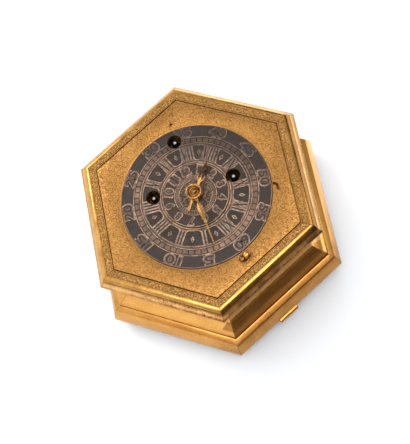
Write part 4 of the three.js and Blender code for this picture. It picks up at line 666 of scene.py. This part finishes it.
def ground_finish():
    """Sunk ground of the dial: matted and dark brown, in places greyer in the minute ring."""
    r = Recipe("dial_ground", metallic=0.4)
    mist = r.ramp(r.noise(3.0, 5.0, 0.65), 0.35, 0.7)
    grain = r.noise(0.35, 2.0, 0.6)
    grey = r.times(r.ramp(r.radius, 28.9, 29.4), r.ramp(r.noise(9.0, 2.0), 0.3, 0.6))
    r.colour = r.mix(mist, (34, 27, 21), (58, 45, 35))
    r.tint(r.times(grey, 0.6), (44, 38, 37))
    r.tint(r.times(r.ramp(grain, 0.4, 0.75), 0.45), (92, 74, 62))
    return r.finish(r.ramp(grain, 0.3, 0.7, 0.5, 0.68), grain, 0.05)


def ticks(r, count, shift, thin, thick, inner, outer):
    """Radial ticks in a ring, count to the turn."""
    turn = r.plus(r.times(r.math("ARCTAN2", r.y, r.x), count / (2 * math.pi)), shift)
    return r.times(r.ramp(r.from_middle(turn), thin, thick, 1.0, 0.0), r.band(r.radius, inner, outer))


def dial_marks(r):
    """The minute track, sixty ticks between two lines, and two finer rings inside it."""
    rings = [r.line(r.radius, *ring) for ring in ((28.6, 0.24), (26.3, 0.3), (25.4, 0.18), (17.0, 0.2))]
    return r.most(ticks(r, 60, 60.5, 0.06, 0.12, 26.5, 28.45), *rings)


def fine_pits(r):
    """A few small pits, where nothing is engraved."""
    return r.times(r.ramp(r.noise(0.5, 3.0, 0.7), 0.62, 0.74), 0.5)


HOUR_NUMERALS = ["XII", "I", "II", "III", "IIII", "V", "VI", "VII", "VIII", "IX", "X", "XI"]
LETTER_WIDTHS = {"I": 1.4, "V": 2.7, "X": 2.8}
RESERVE_MARGIN = 0.35
RESERVE_CHAMFER = 0.7
EDGE_WIDTH = 0.3


def half_width(hour):
    """Half the width of an hour numeral."""
    return sum(LETTER_WIDTHS[letter] for letter in HOUR_NUMERALS[hour % 12]) / 2


def reserve(hour, inner, outer, margin):
    """Sunk panel between an hour and the next: its sides stand along the strokes of the two numerals, and the
    two inner corners are cut off."""
    sides = []
    for h, sign in ((hour, -1), (hour + 1, 1)):
        a = math.radians(hour_direction(h))
        out, side = Vector((math.cos(a), math.sin(a))), Vector((-math.sin(a), math.cos(a)))
        offset = sign * (half_width(h) + margin)
        sides.append([out * math.sqrt(reach ** 2 - offset ** 2) + side * offset for reach in (inner, outer)])
    (a_in, a_out), (b_in, b_out) = sides
    cut = min(RESERVE_CHAMFER, (b_in - a_in).length * 0.3)
    across = (b_in - a_in).normalized() * cut
    bulge = ((a_out + b_out) / 2).normalized() * 0.35
    points = [a_in + across, a_in + (a_out - a_in).normalized() * cut, a_out,
              a_out.lerp(b_out, 0.3) + bulge, a_out.lerp(b_out, 0.7) + bulge, b_out,
              b_in + (b_out - b_in).normalized() * cut, b_in - across]
    return [(p.x, p.y) for p in points]


def hour_direction(hour):
    """Direction of an hour on the dial, in degrees."""
    return 90 - 30 * hour


def joined(name, pieces):
    """Joins pieces into one object."""
    bm = bmesh.new()
    for piece in pieces:
        bm.from_mesh(piece.data)
    material = pieces[0].data.materials[0]
    for piece in pieces:
        mesh = piece.data
        bpy.data.objects.remove(piece)
        bpy.data.meshes.remove(mesh)
    return object_from(name, bm, material)


def rubbed_edge(name, outer, inner, top):
    """Narrow bright edge between two outlines, a little proud of the surface that it lies on."""
    return cut_sheet(name, [outer, inner], top - 0.1, top + 0.01, bright_edge)


def rubbed_rings(name, radii, half, top):
    """Bright edges of raised rings, each with half its width."""
    return [rubbed_edge(f"{name}_{i}", circle(radius + half), circle(radius - half), top)
            for i, radius in enumerate(radii)]


dial_silver = silver_finish("dial_silver", dial_marks)
pad_silver = silver_finish("dial_pads", fine_pits)
dial_ground = ground_finish()
bright_edge = edge_finish()
dial_holes = WINDING_HOLES + [DIAL_PIN_HOLE]
dial_disc = cut_sheet("chapter_ground", [circle(DIAL_RADIUS), circle(ALARM_OPENING)], SINK_FLOOR,
                      GROUND_TOP, dial_ground, 0.05)
reserves = [reserve(h, HOUR_INNER, RESERVE_OUTER, RESERVE_MARGIN) for h in range(12)]
dial_field = cut_sheet("chapter_field", [circle(MINUTE_RING_INNER), circle(ALARM_OPENING + 0.1), *reserves],
                       GROUND_TOP - 0.1, FIELD_TOP, dial_silver, 0.05)
dial_rim = cut_sheet("chapter_rim", [circle(RIM_OUTER), circle(RIM_INNER)], GROUND_TOP - 0.1, FIELD_TOP,
                     pad_silver, 0.05)
edges = []
for h, panel in enumerate(reserves):
    around = reserve(h, HOUR_INNER - EDGE_WIDTH, RESERVE_OUTER + EDGE_WIDTH, RESERVE_MARGIN - EDGE_WIDTH)
    edges.append(rubbed_edge(f"edge_{h}", around, panel, FIELD_TOP))
edges += rubbed_rings("ring", BRIGHT_RINGS, RING_HALF, FIELD_TOP)
dial_edges = joined("chapter_rubbed_edges", edges)
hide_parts("chapter_disc")
for piece in (dial_disc, dial_field, dial_rim, dial_edges):
    drilled(piece, dial_holes)
    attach(piece, "case")


# Numerals of the chapter disc
# Minute numerals on pads that follow their outline, Roman hour numerals cut in the raised field, and a small
# diamond in each panel for the half hour. All stand with their heads outward.
def numeral(name, text, size, radius, direction, low, high, swell, material):
    """A numeral of the size (width, height) in mm, its head outward, its outline widened by swell."""
    letters = bpy.data.curves.new(name, "FONT")
    letters.body = text
    letters.align_x = "CENTER"
    letters.size = 1.0
    letters.extrude = 0.5
    letters.resolution_u = 8
    letters.offset = swell
    piece = solid_from(name, letters, 0, material)
    corners = [v.co.copy() for v in piece.data.vertices]
    lowest = Vector([min(c[i] for c in corners) for i in range(3)])
    extent = Vector([max(c[i] for c in corners) for i in range(3)]) - lowest
    width, height = size
    turn = math.radians(direction)
    piece.data.transform(
        Matrix.Translation((radius * MM * math.cos(turn), radius * MM * math.sin(turn), low * MM))
        @ Matrix.Rotation(turn - math.pi / 2, 4, "Z")
        @ Matrix.Diagonal((width * MM / extent.x, height * MM / extent.y, (high - low) * MM / extent.z, 1))
        @ Matrix.Translation((-lowest.x - extent.x / 2, -lowest.y - extent.y / 2, -lowest.z)))
    return piece


def stroke(bm, start, end, width, low, high, turn):
    """Straight engraved stroke between two points of a numeral, in mm."""
    (x0, y0), (x1, y1) = start, end
    middle = Vector(((x0 + x1) / 2, (y0 + y1) / 2, (low + high) / 2)) * MM
    place = (Matrix.Rotation(turn, 4, "Z") @ Matrix.Translation(middle)
             @ Matrix.Rotation(math.atan2(y1 - y0, x1 - x0), 4, "Z")
             @ Matrix.Diagonal((math.dist(start, end) * MM, width * MM, (high - low) * MM, 1)))
    bmesh.ops.create_cube(bm, size=1.0, matrix=place)


def ink_finish():
    r = Recipe("black_wax", metallic=0.0)
    grain = r.noise(0.5, 3.0, 0.6)
    r.colour = r.mix(r.ramp(grain, 0.35, 0.7), INK, (52, 40, 34))
    return r.finish(r.ramp(grain, 0.3, 0.7, 0.55, 0.75), grain, 0.04)


def meets(piece, centre, radius):
    """Whether a round hole, in mm, reaches a piece's box."""
    flat = [[corner[i] / MM for corner in piece.bound_box] for i in (0, 1)]
    return all(min(row) < c + radius and max(row) > c - radius for row, c in zip(flat, centre))


def numeral_set(name, entries, radius, low, top, pad_size, ink_size):
    """Numerals of a ring in three layers: a worn bright edge, the pad inside it, and the waxed strokes."""
    (pad_more, pad_height), (one, two, height) = pad_size, ink_size
    rings = []
    for layer, more, tall, bottom, upper, swell, material in (
            ("edges", pad_more, pad_height, low - 0.1, top, 0.075, bright_edge),
            ("pads", pad_more - 0.55, pad_height - 0.55, low - 0.1, top + 0.02, 0.075, pad_silver),
            ("strokes", 0, height, top - 0.1, top + 0.03, 0.014, black_wax)):
        pieces = []
        for text, direction in entries:
            size = (one if len(text) == 1 else two) + more, tall
            piece = numeral(f"{name}_{text}", text, size, radius, direction, bottom, upper, swell, material)
            met = [(centre, r) for centre, r in dial_holes if meets(piece, centre, r)]
            if met:
                drilled(piece, met)
            pieces.append(piece)
        rings.append(joined(f"{name}_{layer}", pieces))
    return rings


MINUTE_CIRCLE, HALF_HOUR_CIRCLE = 32.05, 21.3
black_wax = ink_finish()
fives = [(str(5 * five), hour_direction(five)) for five in range(1, 13)]
minute_numerals = numeral_set("minute_numerals", fives, MINUTE_CIRCLE, GROUND_TOP, FIELD_TOP, (1.6, 5.7),
                              (4.2, 7.0, 4.0))

THICK, THIN = 0.8, 0.42
HEAD, FOOT_LINE = 24.4, 17.9
LIGHT_SIDE = 0.24


def roman(bm, hour, spread, low, high):
    """Strokes of an hour numeral; spread widens them, for the light edges below the waxed strokes."""
    turn = math.radians(hour_direction(hour) - 90)
    x = -half_width(hour)
    for letter in HOUR_NUMERALS[hour]:
        width = LETTER_WIDTHS[letter]
        middle, left, right = x + width / 2, x + 0.4, x + width - 0.4
        if letter == "I":
            stroke(bm, (middle, FOOT_LINE), (middle, HEAD), THICK + spread, low, high, turn)
        elif letter == "V":
            stroke(bm, (left, HEAD), (middle, FOOT_LINE), THICK + spread, low, high, turn)
            stroke(bm, (right, HEAD), (middle, FOOT_LINE), THIN + spread, low, high + 0.002, turn)
        else:
            stroke(bm, (left, HEAD), (right, FOOT_LINE), THICK + spread, low, high, turn)
            stroke(bm, (right, HEAD), (left, FOOT_LINE), THIN + spread, low, high + 0.002, turn)
        x += width


bm = bmesh.new()
for hour in range(12):
    roman(bm, hour, 2 * LIGHT_SIDE, FIELD_TOP - 0.1, FIELD_TOP + 0.006)
hour_edges = object_from("hour_numeral_edges", bm, bright_edge, smooth=False)
bm = bmesh.new()
for hour in range(12):
    roman(bm, hour, 0, FIELD_TOP - 0.1, FIELD_TOP + 0.014)
hour_numerals = object_from("hour_numeral_strokes", bm, black_wax, smooth=False)


def lozenges(name, wide, reach, low, high, material):
    """Half-hour lozenges, one in each panel."""
    bm = bmesh.new()
    for hour in range(12):
        turn = math.radians(hour_direction(hour + 0.5) - 90)
        middle = Matrix.Translation((0, HALF_HOUR_CIRCLE * MM, (low + high) / 2 * MM))
        place = Matrix.Rotation(turn, 4, "Z") @ middle @ Matrix.Diagonal((wide, reach, 1, 1))
        bmesh.ops.create_cone(bm, cap_ends=True, segments=4, radius1=MM, radius2=MM, depth=(high - low) * MM,
                              matrix=place)
    return object_from(name, bm, material, smooth=False)


half_hours = [lozenges("half_hour_lozenges", 0.85, 1.5, GROUND_TOP - 0.1, GROUND_TOP + 0.1, bright_edge),
              lozenges("half_hour_grounds", 0.5, 0.95, GROUND_TOP - 0.1, GROUND_TOP + 0.11, dial_ground),
              lozenges("half_hour_points", 0.22, 0.3, GROUND_TOP - 0.1, GROUND_TOP + 0.12, bright_edge)]
for piece in (*half_hours, hour_numerals, hour_edges):
    drilled(piece, dial_holes)
for piece in (*half_hours, hour_numerals, hour_edges, *minute_numerals):
    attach(piece, "case")


# Alarm disc
# A smaller disc in the middle, turned by hand to set the alarm: a sunk ring with the numerals 1 to 12 on
# pads, a raised ring with the quarter hours, a dark centre and a low boss under the hour hand.
ALARM_RADIUS, ALARM_LOW, ALARM_TOP, ALARM_GROUND = 15.6, 54.7, 55.8, 55.66
ALARM_TWELVE = -110
ALARM_CIRCLE, ALARM_RINGS, ALARM_RING_HALF = 12.6, (7.72, 9.75, 15.3), 0.12
BOSS_RADIUS, BOSS_TOP, PIPE_RADIUS = 3.4, 56.6, 2.15


def alarm_marks(r):
    """Two rings and the quarter hours between them."""
    quarters = ticks(r, 48, 48.8, 0.07, 0.15, 8.0, 9.3)
    return r.most(quarters, r.line(r.radius, 9.45, 0.14), r.line(r.radius, 7.9, 0.14))


def scrolled_centre():
    """Dark ground, chased with a few scrolls inside the quarter ring."""
    r = Recipe("alarm_ground", metallic=0.45)
    grain = r.noise(0.4, 3.0, 0.6)
    scrolls = r.times(r.curls(r.place, 3.4, 1.5, 0.16), r.band(r.radius, 3.4, 7.5))
    r.colour = r.mix(r.ramp(grain, 0.35, 0.7), (40, 32, 26), (74, 58, 46))
    r.tint(r.times(scrolls, 0.6), (150, 118, 92))
    return r.finish(r.ramp(grain, 0.3, 0.7, 0.42, 0.6), r.most(scrolls, r.times(grain, 0.3)), 0.06)


ALARM_PROFILE = [(PIPE_RADIUS, ALARM_LOW), (ALARM_RADIUS, ALARM_LOW), (ALARM_RADIUS, ALARM_GROUND),
                 (BOSS_RADIUS, ALARM_GROUND), (BOSS_RADIUS, BOSS_TOP - 0.1), (BOSS_RADIUS - 0.1, BOSS_TOP),
                 (PIPE_RADIUS, BOSS_TOP)]
alarm_disc = lathed("alarm_disc_ground", ALARM_PROFILE, 96, scrolled_centre())
alarm_silver = silver_finish("alarm_silver", alarm_marks)
alarm_rim = cut_sheet("alarm_rim", [circle(ALARM_RADIUS), circle(ALARM_RADIUS - 0.42)], ALARM_GROUND - 0.1,
                      ALARM_TOP, pad_silver, 0.05)
alarm_track = cut_sheet("alarm_track", [circle(9.95), circle(7.6)], ALARM_GROUND - 0.1, ALARM_TOP,
                        alarm_silver, 0.05)
alarm_hours = [(str(hour), ALARM_TWELVE - 30 * hour) for hour in range(1, 13)]
alarm_numerals = numeral_set("alarm_numerals", alarm_hours, ALARM_CIRCLE, ALARM_GROUND, ALARM_TOP, (1.5, 4.7),
                             (1.7, 3.3, 3.1))
rings = rubbed_rings("alarm_ring", ALARM_RINGS, ALARM_RING_HALF, ALARM_TOP)
alarm_rings = joined("alarm_rubbed_rings", rings)
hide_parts("alarm_disc")
for piece in (alarm_disc, alarm_rim, alarm_track, alarm_rings, *alarm_numerals):
    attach(piece, "alarm_setting")


# Hands and collet
# Pierced, chased and gilt. The hour hand has scrolls and a spear tip, and a short tail that reads the alarm
# disc; the minute hand is slim, with a leaf beside the boss. A turned and stepped collet holds both.
HOUR_LOW, MINUTE_LOW, HAND_THICK = 56.9, 58.9, 0.8
HOUR_TURN, MINUTE_TURN = math.radians(-151), math.radians(68.8)


def hand_finish():
    """Gilt and tarnished in places, with painted shade in the hollow of the collet."""
    r = Recipe("gilt_hands")
    r.colour = r.gilding((132, 92, 50), (194, 144, 84), (228, 184, 120), 3.0)
    tarnish = r.ramp(r.noise(1.6, 5.0, 0.7), 0.55, 0.7)
    # Tarnish, and painted shade in the hollow of the collet.
    hollow = r.times(r.ramp(r.radius, 2.3, 3.0, 0.8, 0.0), r.ramp(r.z, 59.75, 59.8))
    r.tint(r.times(r.most(tarnish, hollow), 0.75), (84, 50, 28))
    rough = r.ramp(r.noise(1.0), 0.3, 0.7, 0.22, 0.38)
    return r.finish(rough, r.noise(0.6, 2.0), 0.05)


def rounded(points, steps=4):
    """A smooth closed line through the points."""
    result = []
    count = len(points)
    for i in range(count):
        before, start, end, after = (Vector(points[(i + k) % count]) for k in (-1, 0, 1, 2))
        for step in range(steps):
            t = step / steps
            p = 0.5 * (2 * start + (end - before) * t + (2 * before - 5 * start + 4 * end - after) * t * t
                       + (3 * start - before - 3 * end + after) * t ** 3)
            result.append((p.x, p.y))
    return result


def mirrored(half):
    """Outline from its upper half, tip to back."""
    return half + [(x, -y) for x, y in reversed(half) if y > 0.01]


def hour_finish():
    """The hour hand is tarnished nearly black towards its tip."""
    r = Recipe("tarnished_hour_hand")
    r.colour = r.gilding((140, 98, 54), (196, 146, 86), (228, 182, 118), 3.0)
    outward = r.ramp(r.plus(r.radius, r.times(r.noise(1.5), 3.0)), 9.0, 12.0)
    r.tint(r.times(outward, 0.92), (44, 32, 26))
    return r.finish(r.ramp(r.noise(1.0), 0.3, 0.7, 0.26, 0.42), r.noise(0.6, 2.0), 0.05)


hand_gilt = hand_finish()
hour_gilt = hour_finish()
HOUR_HALF = [(16.3, 0), (15.2, 0.34), (14.0, 0.8), (13.0, 1.1), (12.3, 0.9), (11.6, 0.45), (11.0, 0.8),
             (10.2, 1.4), (9.2, 1.85), (8.0, 1.85), (7.0, 1.4), (6.3, 0.8), (5.0, 0.62), (4.0, 0.75),
             (2.6, 1.3), (-2.6, 1.0), (-4.2, 0.5), (-6.0, 0.42), (-7.6, 0.72), (-9.0, 0.2)]
SCROLL_HOLE = [(9.9, 0.42), (9.6, 0.9), (8.9, 1.25), (8.1, 1.2), (7.6, 0.8), (8.0, 0.42), (8.9, 0.28)]
hour_outlines = [rounded(mirrored(HOUR_HALF), 3)]
hour_outlines += [rounded([(x, side * y) for x, y in SCROLL_HOLE]) for side in (1, -1)]
hour_hand = cut_sheet("hour_hand_pierced", hour_outlines, HOUR_LOW, HOUR_LOW + HAND_THICK, hour_gilt, 0.1)
hour_hand.data.transform(Matrix.Rotation(HOUR_TURN, 4, "Z"))
EYE_TOP = HOUR_LOW + HAND_THICK + 0.02
EYE_PROFILE = [(PIPE_RADIUS, HOUR_LOW), (BOSS_RADIUS, HOUR_LOW), (BOSS_RADIUS, EYE_TOP - 0.17),
               (BOSS_RADIUS - 0.15, EYE_TOP), (PIPE_RADIUS, EYE_TOP)]
hour_eye = lathed("hour_hand_eye", EYE_PROFILE, 48, hour_gilt)
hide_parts("hour_hand")
for piece in (hour_hand, hour_eye):
    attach(piece, "hour")

MINUTE_HALF = [(30.3, 0), (29.8, 0.26), (22.0, 0.34), (16.6, 0.42), (16.0, 0.5), (15.5, 0.9), (15.0, 0.56),
               (13.8, 0.72), (11.6, 1.1), (9.4, 1.42), (7.6, 1.3), (6.6, 0.95), (5.6, 0.4), (4.6, 0.55),
               (3.8, 0.62), (2.6, 0.8), (0.5, 1.0)]
COLLET_LOW = MINUTE_LOW + HAND_THICK
minute_hand = cut_sheet("minute_hand_slim", [rounded(mirrored(MINUTE_HALF), 3)], MINUTE_LOW, COLLET_LOW,
                        hand_gilt, 0.12)
minute_hand.data.transform(Matrix.Rotation(MINUTE_TURN, 4, "Z"))
COLLET = [(0, -0.7), (2.7, -0.7), (2.8, 0), (3.6, 0), (3.8, 0.35), (3.8, 0.85), (3.66, 1.1), (3.4, 1.2),
          (3.1, 1.12), (2.85, 0.7), (2.5, 0.4), (2.2, 0.62), (2.0, 0.82), (1.75, 0.86), (1.5, 0.7),
          (1.2, 0.95), (0.95, 1.35), (0.6, 1.55), (0, 1.6)]
collet_profile = [(radius, COLLET_LOW + rise) for radius, rise in COLLET]
collet = lathed("hand_collet_turned", collet_profile, 64, hand_gilt, closed=False, sharp=60)
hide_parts("minute_hand")
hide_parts("hand_collet")
for piece in (minute_hand, collet):
    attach(piece, "centre")


# Catch knob
# A cast and gilt thumb knob of two rounded lobes on a short stem, beyond XII; it turns the bolt that holds
# the movement in the case. Painted shade darkens its foot and its lesser lobe.
def knob_finish():
    r = Recipe("gilt_knob")
    r.colour = r.gilding((150, 98, 46), (204, 148, 80), (240, 200, 134), 2.0)
    # Painted shade: darker towards the foot.
    foot = r.ramp(r.plus(r.z, r.noise(1.2, 3.0)), 56.1, 57.5, 0.85, 0.0)
    r.tint(foot, (62, 38, 16))
    # Painted shade on the lesser lobe.
    lesser_lobe_shade = r.ramp(r.x, KNOB_CENTRE[0] - 0.4, KNOB_CENTRE[0] + 0.4, 0.0, 0.7)
    r.tint(lesser_lobe_shade, (92, 60, 28))
    return r.finish(r.ramp(r.noise(1.5), 0.3, 0.7, 0.26, 0.36), r.noise(0.8, 2.0), 0.03)


KNOB_LOBES = ((-1.35, 2.0, 1.9, 3.4), (1.2, 1.6, 1.55, 2.6))
KNOB_LOW = 55.3
knob_gilt = knob_finish()
bm = bmesh.new()
for offset, radius, wide, height in KNOB_LOBES:
    middle = Vector((KNOB_CENTRE[0] + offset, KNOB_CENTRE[1], KNOB_LOW + height / 2)) * MM
    size = Matrix.Diagonal((radius * MM, wide * MM, height / 2 * MM, 1))
    bmesh.ops.create_uvsphere(bm, u_segments=28, v_segments=18, radius=1.0,
                              matrix=Matrix.Translation(middle) @ size)
knob = object_from("catch_knob_lobes", bm, knob_gilt, sharp=60)
bm = bmesh.new()
STEM_PROFILE = [(0, 50.05), (1.1, 50.05), (1.1, 55.25), (1.5, KNOB_LOW), (1.5, 55.6), (0, 55.6)]
spun(bm, STEM_PROFILE, 28, closed=False, centre=KNOB_CENTRE)
box(bm, (KNOB_CENTRE[0], KNOB_CENTRE[1] + 1.6, 50.8), (2.4, 5.6, 1.2))
knob_stem = object_from("catch_stem_and_bolt", bm, knob_gilt)
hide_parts("catch_knob")
for piece in (knob, knob_stem):
    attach(piece, "catch")


# Silence lever
# A flat steel arm under the plate, on a stud of the front plate; the slim pin riveted into it comes up
# through the curved slot and hooks inward, so that a finger can move it.
def lever_finish():
    """Steel below the plate; the pin above it is gilt and has turned brown."""
    r = Recipe("lever_steel_and_gilt_pin")
    above = r.ramp(r.z, 53.6, 53.8)
    r.colour = r.mix(r.ramp(r.noise(3.0, 4.0), 0.35, 0.7), (92, 94, 98), (146, 148, 152))
    r.tint(above, r.gilding((52, 32, 18), (96, 64, 34), (188, 140, 88), 1.2))
    return r.finish(r.ramp(r.noise(0.8), 0.3, 0.7, 0.2, 0.36), r.noise(0.6, 2.0), 0.03)


lever_metal = lever_finish()


# Movement
# Lacquered and polished brass plates, wheels and barrels, steel arbors, levers and springs, a turned bell of
# pale bell metal. The frame's own pieces are shown, each with the finish of its metal.
def brass_finish(name, deep, bright, low_rough, high_rough):
    r = Recipe(name)
    turned = r.noise(1.1, 3.0, 0.6, stretch=(1.0, 1.0, 0.3))
    r.colour = r.gilding(deep, bright, (232, 190, 118), 5.0)
    age = r.ramp(r.noise(2.4, 6.0, 0.72), 0.56, 0.72)
    r.tint(r.times(age, 0.55), (112, 76, 38))
    rough = r.ramp(turned, 0.3, 0.75, low_rough, high_rough)
    return r.finish(rough, turned, 0.04)


def steel_finish(name, deep, bright, low_rough, high_rough):
    r = Recipe(name)
    file_marks = r.noise(0.6, 2.0, 0.6, stretch=(1.0, 0.12, 0.6))
    r.colour = r.mix(r.ramp(r.noise(3.0, 4.0), 0.35, 0.7), deep, bright)
    rust = r.ramp(r.noise(1.5, 6.0, 0.75), 0.6, 0.72)
    r.tint(r.times(rust, 0.5), (92, 66, 48))
    rough = r.ramp(file_marks, 0.3, 0.75, low_rough, high_rough)
    return r.finish(rough, file_marks, 0.03)


def square_finish():
    """Winding squares: steel gone brown, with painted shade up in the holes and a painted glint about the
    lathe centre in their ends.
    """
    r = Recipe("winding_steel")
    spread = r.times(r.noise(0.6), 0.5)
    off_centre = [r.plus(r.from_axis(centre), spread) for centre, _ in WINDING_HOLES]
    spots = [r.ramp(off, 0.7, 1.0, 1.0, 0.0) for off in off_centre]
    # Painted glint about the lathe centre of each square's end.
    painted_glint = r.times(r.most(*spots), r.ramp(r.z, 54.0, 54.2))
    r.colour = r.mix(r.ramp(r.noise(2.0, 4.0), 0.35, 0.7), (40, 36, 34), (66, 60, 56))
    # Painted shade: the squares are near black up in the plate's holes.
    upper = r.ramp(r.z, 50.5, 51.0)
    r.tint(r.times(upper, 0.75), (16, 14, 13))
    r.tint(painted_glint, (206, 210, 220))
    return r.finish(r.ramp(painted_glint, 0.0, 1.0, 0.5, 0.25), r.noise(0.5, 2.0), 0.04)


brass = brass_finish("movement_brass", (164, 116, 54), (206, 156, 80), 0.22, 0.38)
steel = steel_finish("movement_steel", (92, 94, 98), (150, 152, 156), 0.22, 0.4)
bell_metal = brass_finish("bell_metal", (156, 128, 80), (196, 166, 110), 0.2, 0.34)
gilt_works = plain_gilt("movement_gilt", GOLD_DEEP, GOLD, GOLD_PALE, 0.22, 0.36)
FINISH_OF_SLOT = {"brass_works": brass, "steel": steel, "bell_metal": bell_metal, "gilt_engraved": gilt_works,
                  "gilt_polished": gilt_works, "gilt_hands": hand_gilt, "silvered_dark": dial_ground}
winding_steel = square_finish()
FINISH_OF_NODE = {"silence_lever": lever_metal, "going_winding_arbor": winding_steel,
                  "strike_winding_arbor": winding_steel, "alarm_winding_arbor": winding_steel}
SLOT_OF_NODE = {part["node"]: part["material_slot"] for part in frame["record"]["subparts"]}
for name, node in frame["nodes"].items():
    if not node.hide_render:
        node.data.materials.clear()
        node.data.materials.append(FINISH_OF_NODE.get(name) or FINISH_OF_SLOT[SLOT_OF_NODE[name]])


# Table top
# A white sheet that carries on as the background and takes the clock's soft shadow.
def table_finish():
    """White to the eye; in the metal's reflections it is dark beyond XII and bright on the side of IX."""
    material = bpy.data.materials.new("white_sheet")
    material.use_nodes = True
    material.node_tree.nodes.clear()
    t = Nodes(material.node_tree)
    x, y, _ = t.split(t.node("TexCoord", {}).outputs["Object"])
    path = t.node("LightPath", {}).outputs
    # Painted shadow: in reflections and bounced light the sheet is darker beyond XII.
    shaded = t.ramp(y, 0.08, 0.11, 0.8, 0.05, "LINEAR")
    # Painted glow: in the metal's reflections the sheet shines on the side of IX.
    bright_side = t.ramp(x, -0.075, -0.045, 0.9, 0.0, "LINEAR")
    colour = t.mix(path["Is Camera Ray"], shaded, (0.9, 0.95, 1.0, 1))
    sheet = t.node("BsdfDiffuse", {"Color": colour}).outputs[0]
    glow = t.node("Emission", {"Strength": t.times(path["Is Glossy Ray"], bright_side, shaded)}).outputs[0]
    t.node("OutputMaterial", {"Surface": t.node("AddShader", {0: glow, 1: sheet}).outputs[0]})
    return material


TABLE_HALF, TABLE_DROP = 3.0, 0.0002
bm = bmesh.new()
bmesh.ops.create_grid(bm, x_segments=1, y_segments=1, size=TABLE_HALF)
table = object_from("table_top", bm, table_finish(), smooth=False)
table.location.z = -TABLE_DROP


# Light
# A soft lamp high beyond VI throws the shadow towards XII. What the metal reflects is a room of soft boxes:
# above, at both flanks, beyond VI and overhead, with a dark and warm brown far side. The table itself is
# lit by a plain sky, brighter beyond VI.
lamp_data = bpy.data.lights.new("key_lamp", "AREA")
lamp_data.shape = "DISK"
lamp_data.size = 0.5
lamp_data.energy = 5
lamp = placed("key_lamp", lamp_data)
lamp.location = (0.3, -1.15, 0.95)
clock_middle = Vector((0, 0, 0.03))
lamp.rotation_euler = (clock_middle - lamp.location).to_track_quat("-Z", "Y").to_euler()

world = bpy.data.worlds.new("studio")
bpy.context.scene.world = world
world.use_nodes = True
world.node_tree.nodes.clear()
w = Nodes(world.node_tree)
x, y, z = w.split(w.node("TexCoord", {}).outputs["Generated"])
path = w.node("LightPath", {}).outputs
back = w.times(y, -1.0)
above = w.times(w.ramp(z, 0.5, 0.8, 0.0, 0.72), w.ramp(back, -0.35, -0.05))
right = w.times(w.ramp(x, 0.12, 0.5, 0.0, 1.25), w.ramp(z, -0.1, 0.15))
left = w.times(w.ramp(x, -0.9, -0.7, 3.2, 0.0), w.ramp(z, -0.1, 0.05), w.ramp(z, 0.12, 0.32, 1.0, 0.0))
behind = w.times(w.ramp(back, 0.6, 0.85, 0.0, 0.85), w.ramp(z, -0.1, 0.15))
overhead = w.times(w.ramp(y, -0.1, 0.06, 0.0, 4.5), w.ramp(z, 0.73, 0.84))
far_side = w.plus(w.ramp(y, 0.8, 0.93, 0.0, 0.22), 0.04)
soft_boxes = w.plus(w.most(above, right, left, behind, overhead), far_side)
bright_back = w.times(w.ramp(back, -0.1, 0.6, 0.0, 1.4), w.ramp(z, 0.05, 0.3))
sky = w.plus(w.ramp(z, 0.05, 0.7, 0.0, 0.72), bright_back)
level = w.plus(soft_boxes, w.times(path["Is Diffuse Ray"], w.minus(sky, soft_boxes)))
brown = w.times(w.ramp(y, 0.3, 0.7), path["Is Glossy Ray"])
WHITE, WARM = (1, 1, 1, 1), (1, 0.74, 0.56, 1)
room = w.node("Background", {"Color": w.mix(brown, WHITE, WARM), "Strength": level}).outputs[0]
white = w.node("Background", {"Color": WHITE}).outputs[0]
seen = w.node("MixShader", {0: path["Is Camera Ray"], 1: room, 2: white}).outputs[0]
w.node("OutputWorld", {"Surface": seen})


# Camera
# High above the clock and a little beyond XII, rolled so that XII points to the lower right.
camera_data = bpy.data.cameras.new("camera")
camera_data.lens = 92.1304
camera = placed("camera", camera_data)
camera.location = (0.054537, 0.204351, 0.526471)
camera.rotation_euler = [math.radians(a) for a in (20.1881, 10.7566, 138.7379)]
bpy.context.scene.camera = camera
bpy.context.scene.view_settings.view_transform = "Standard"
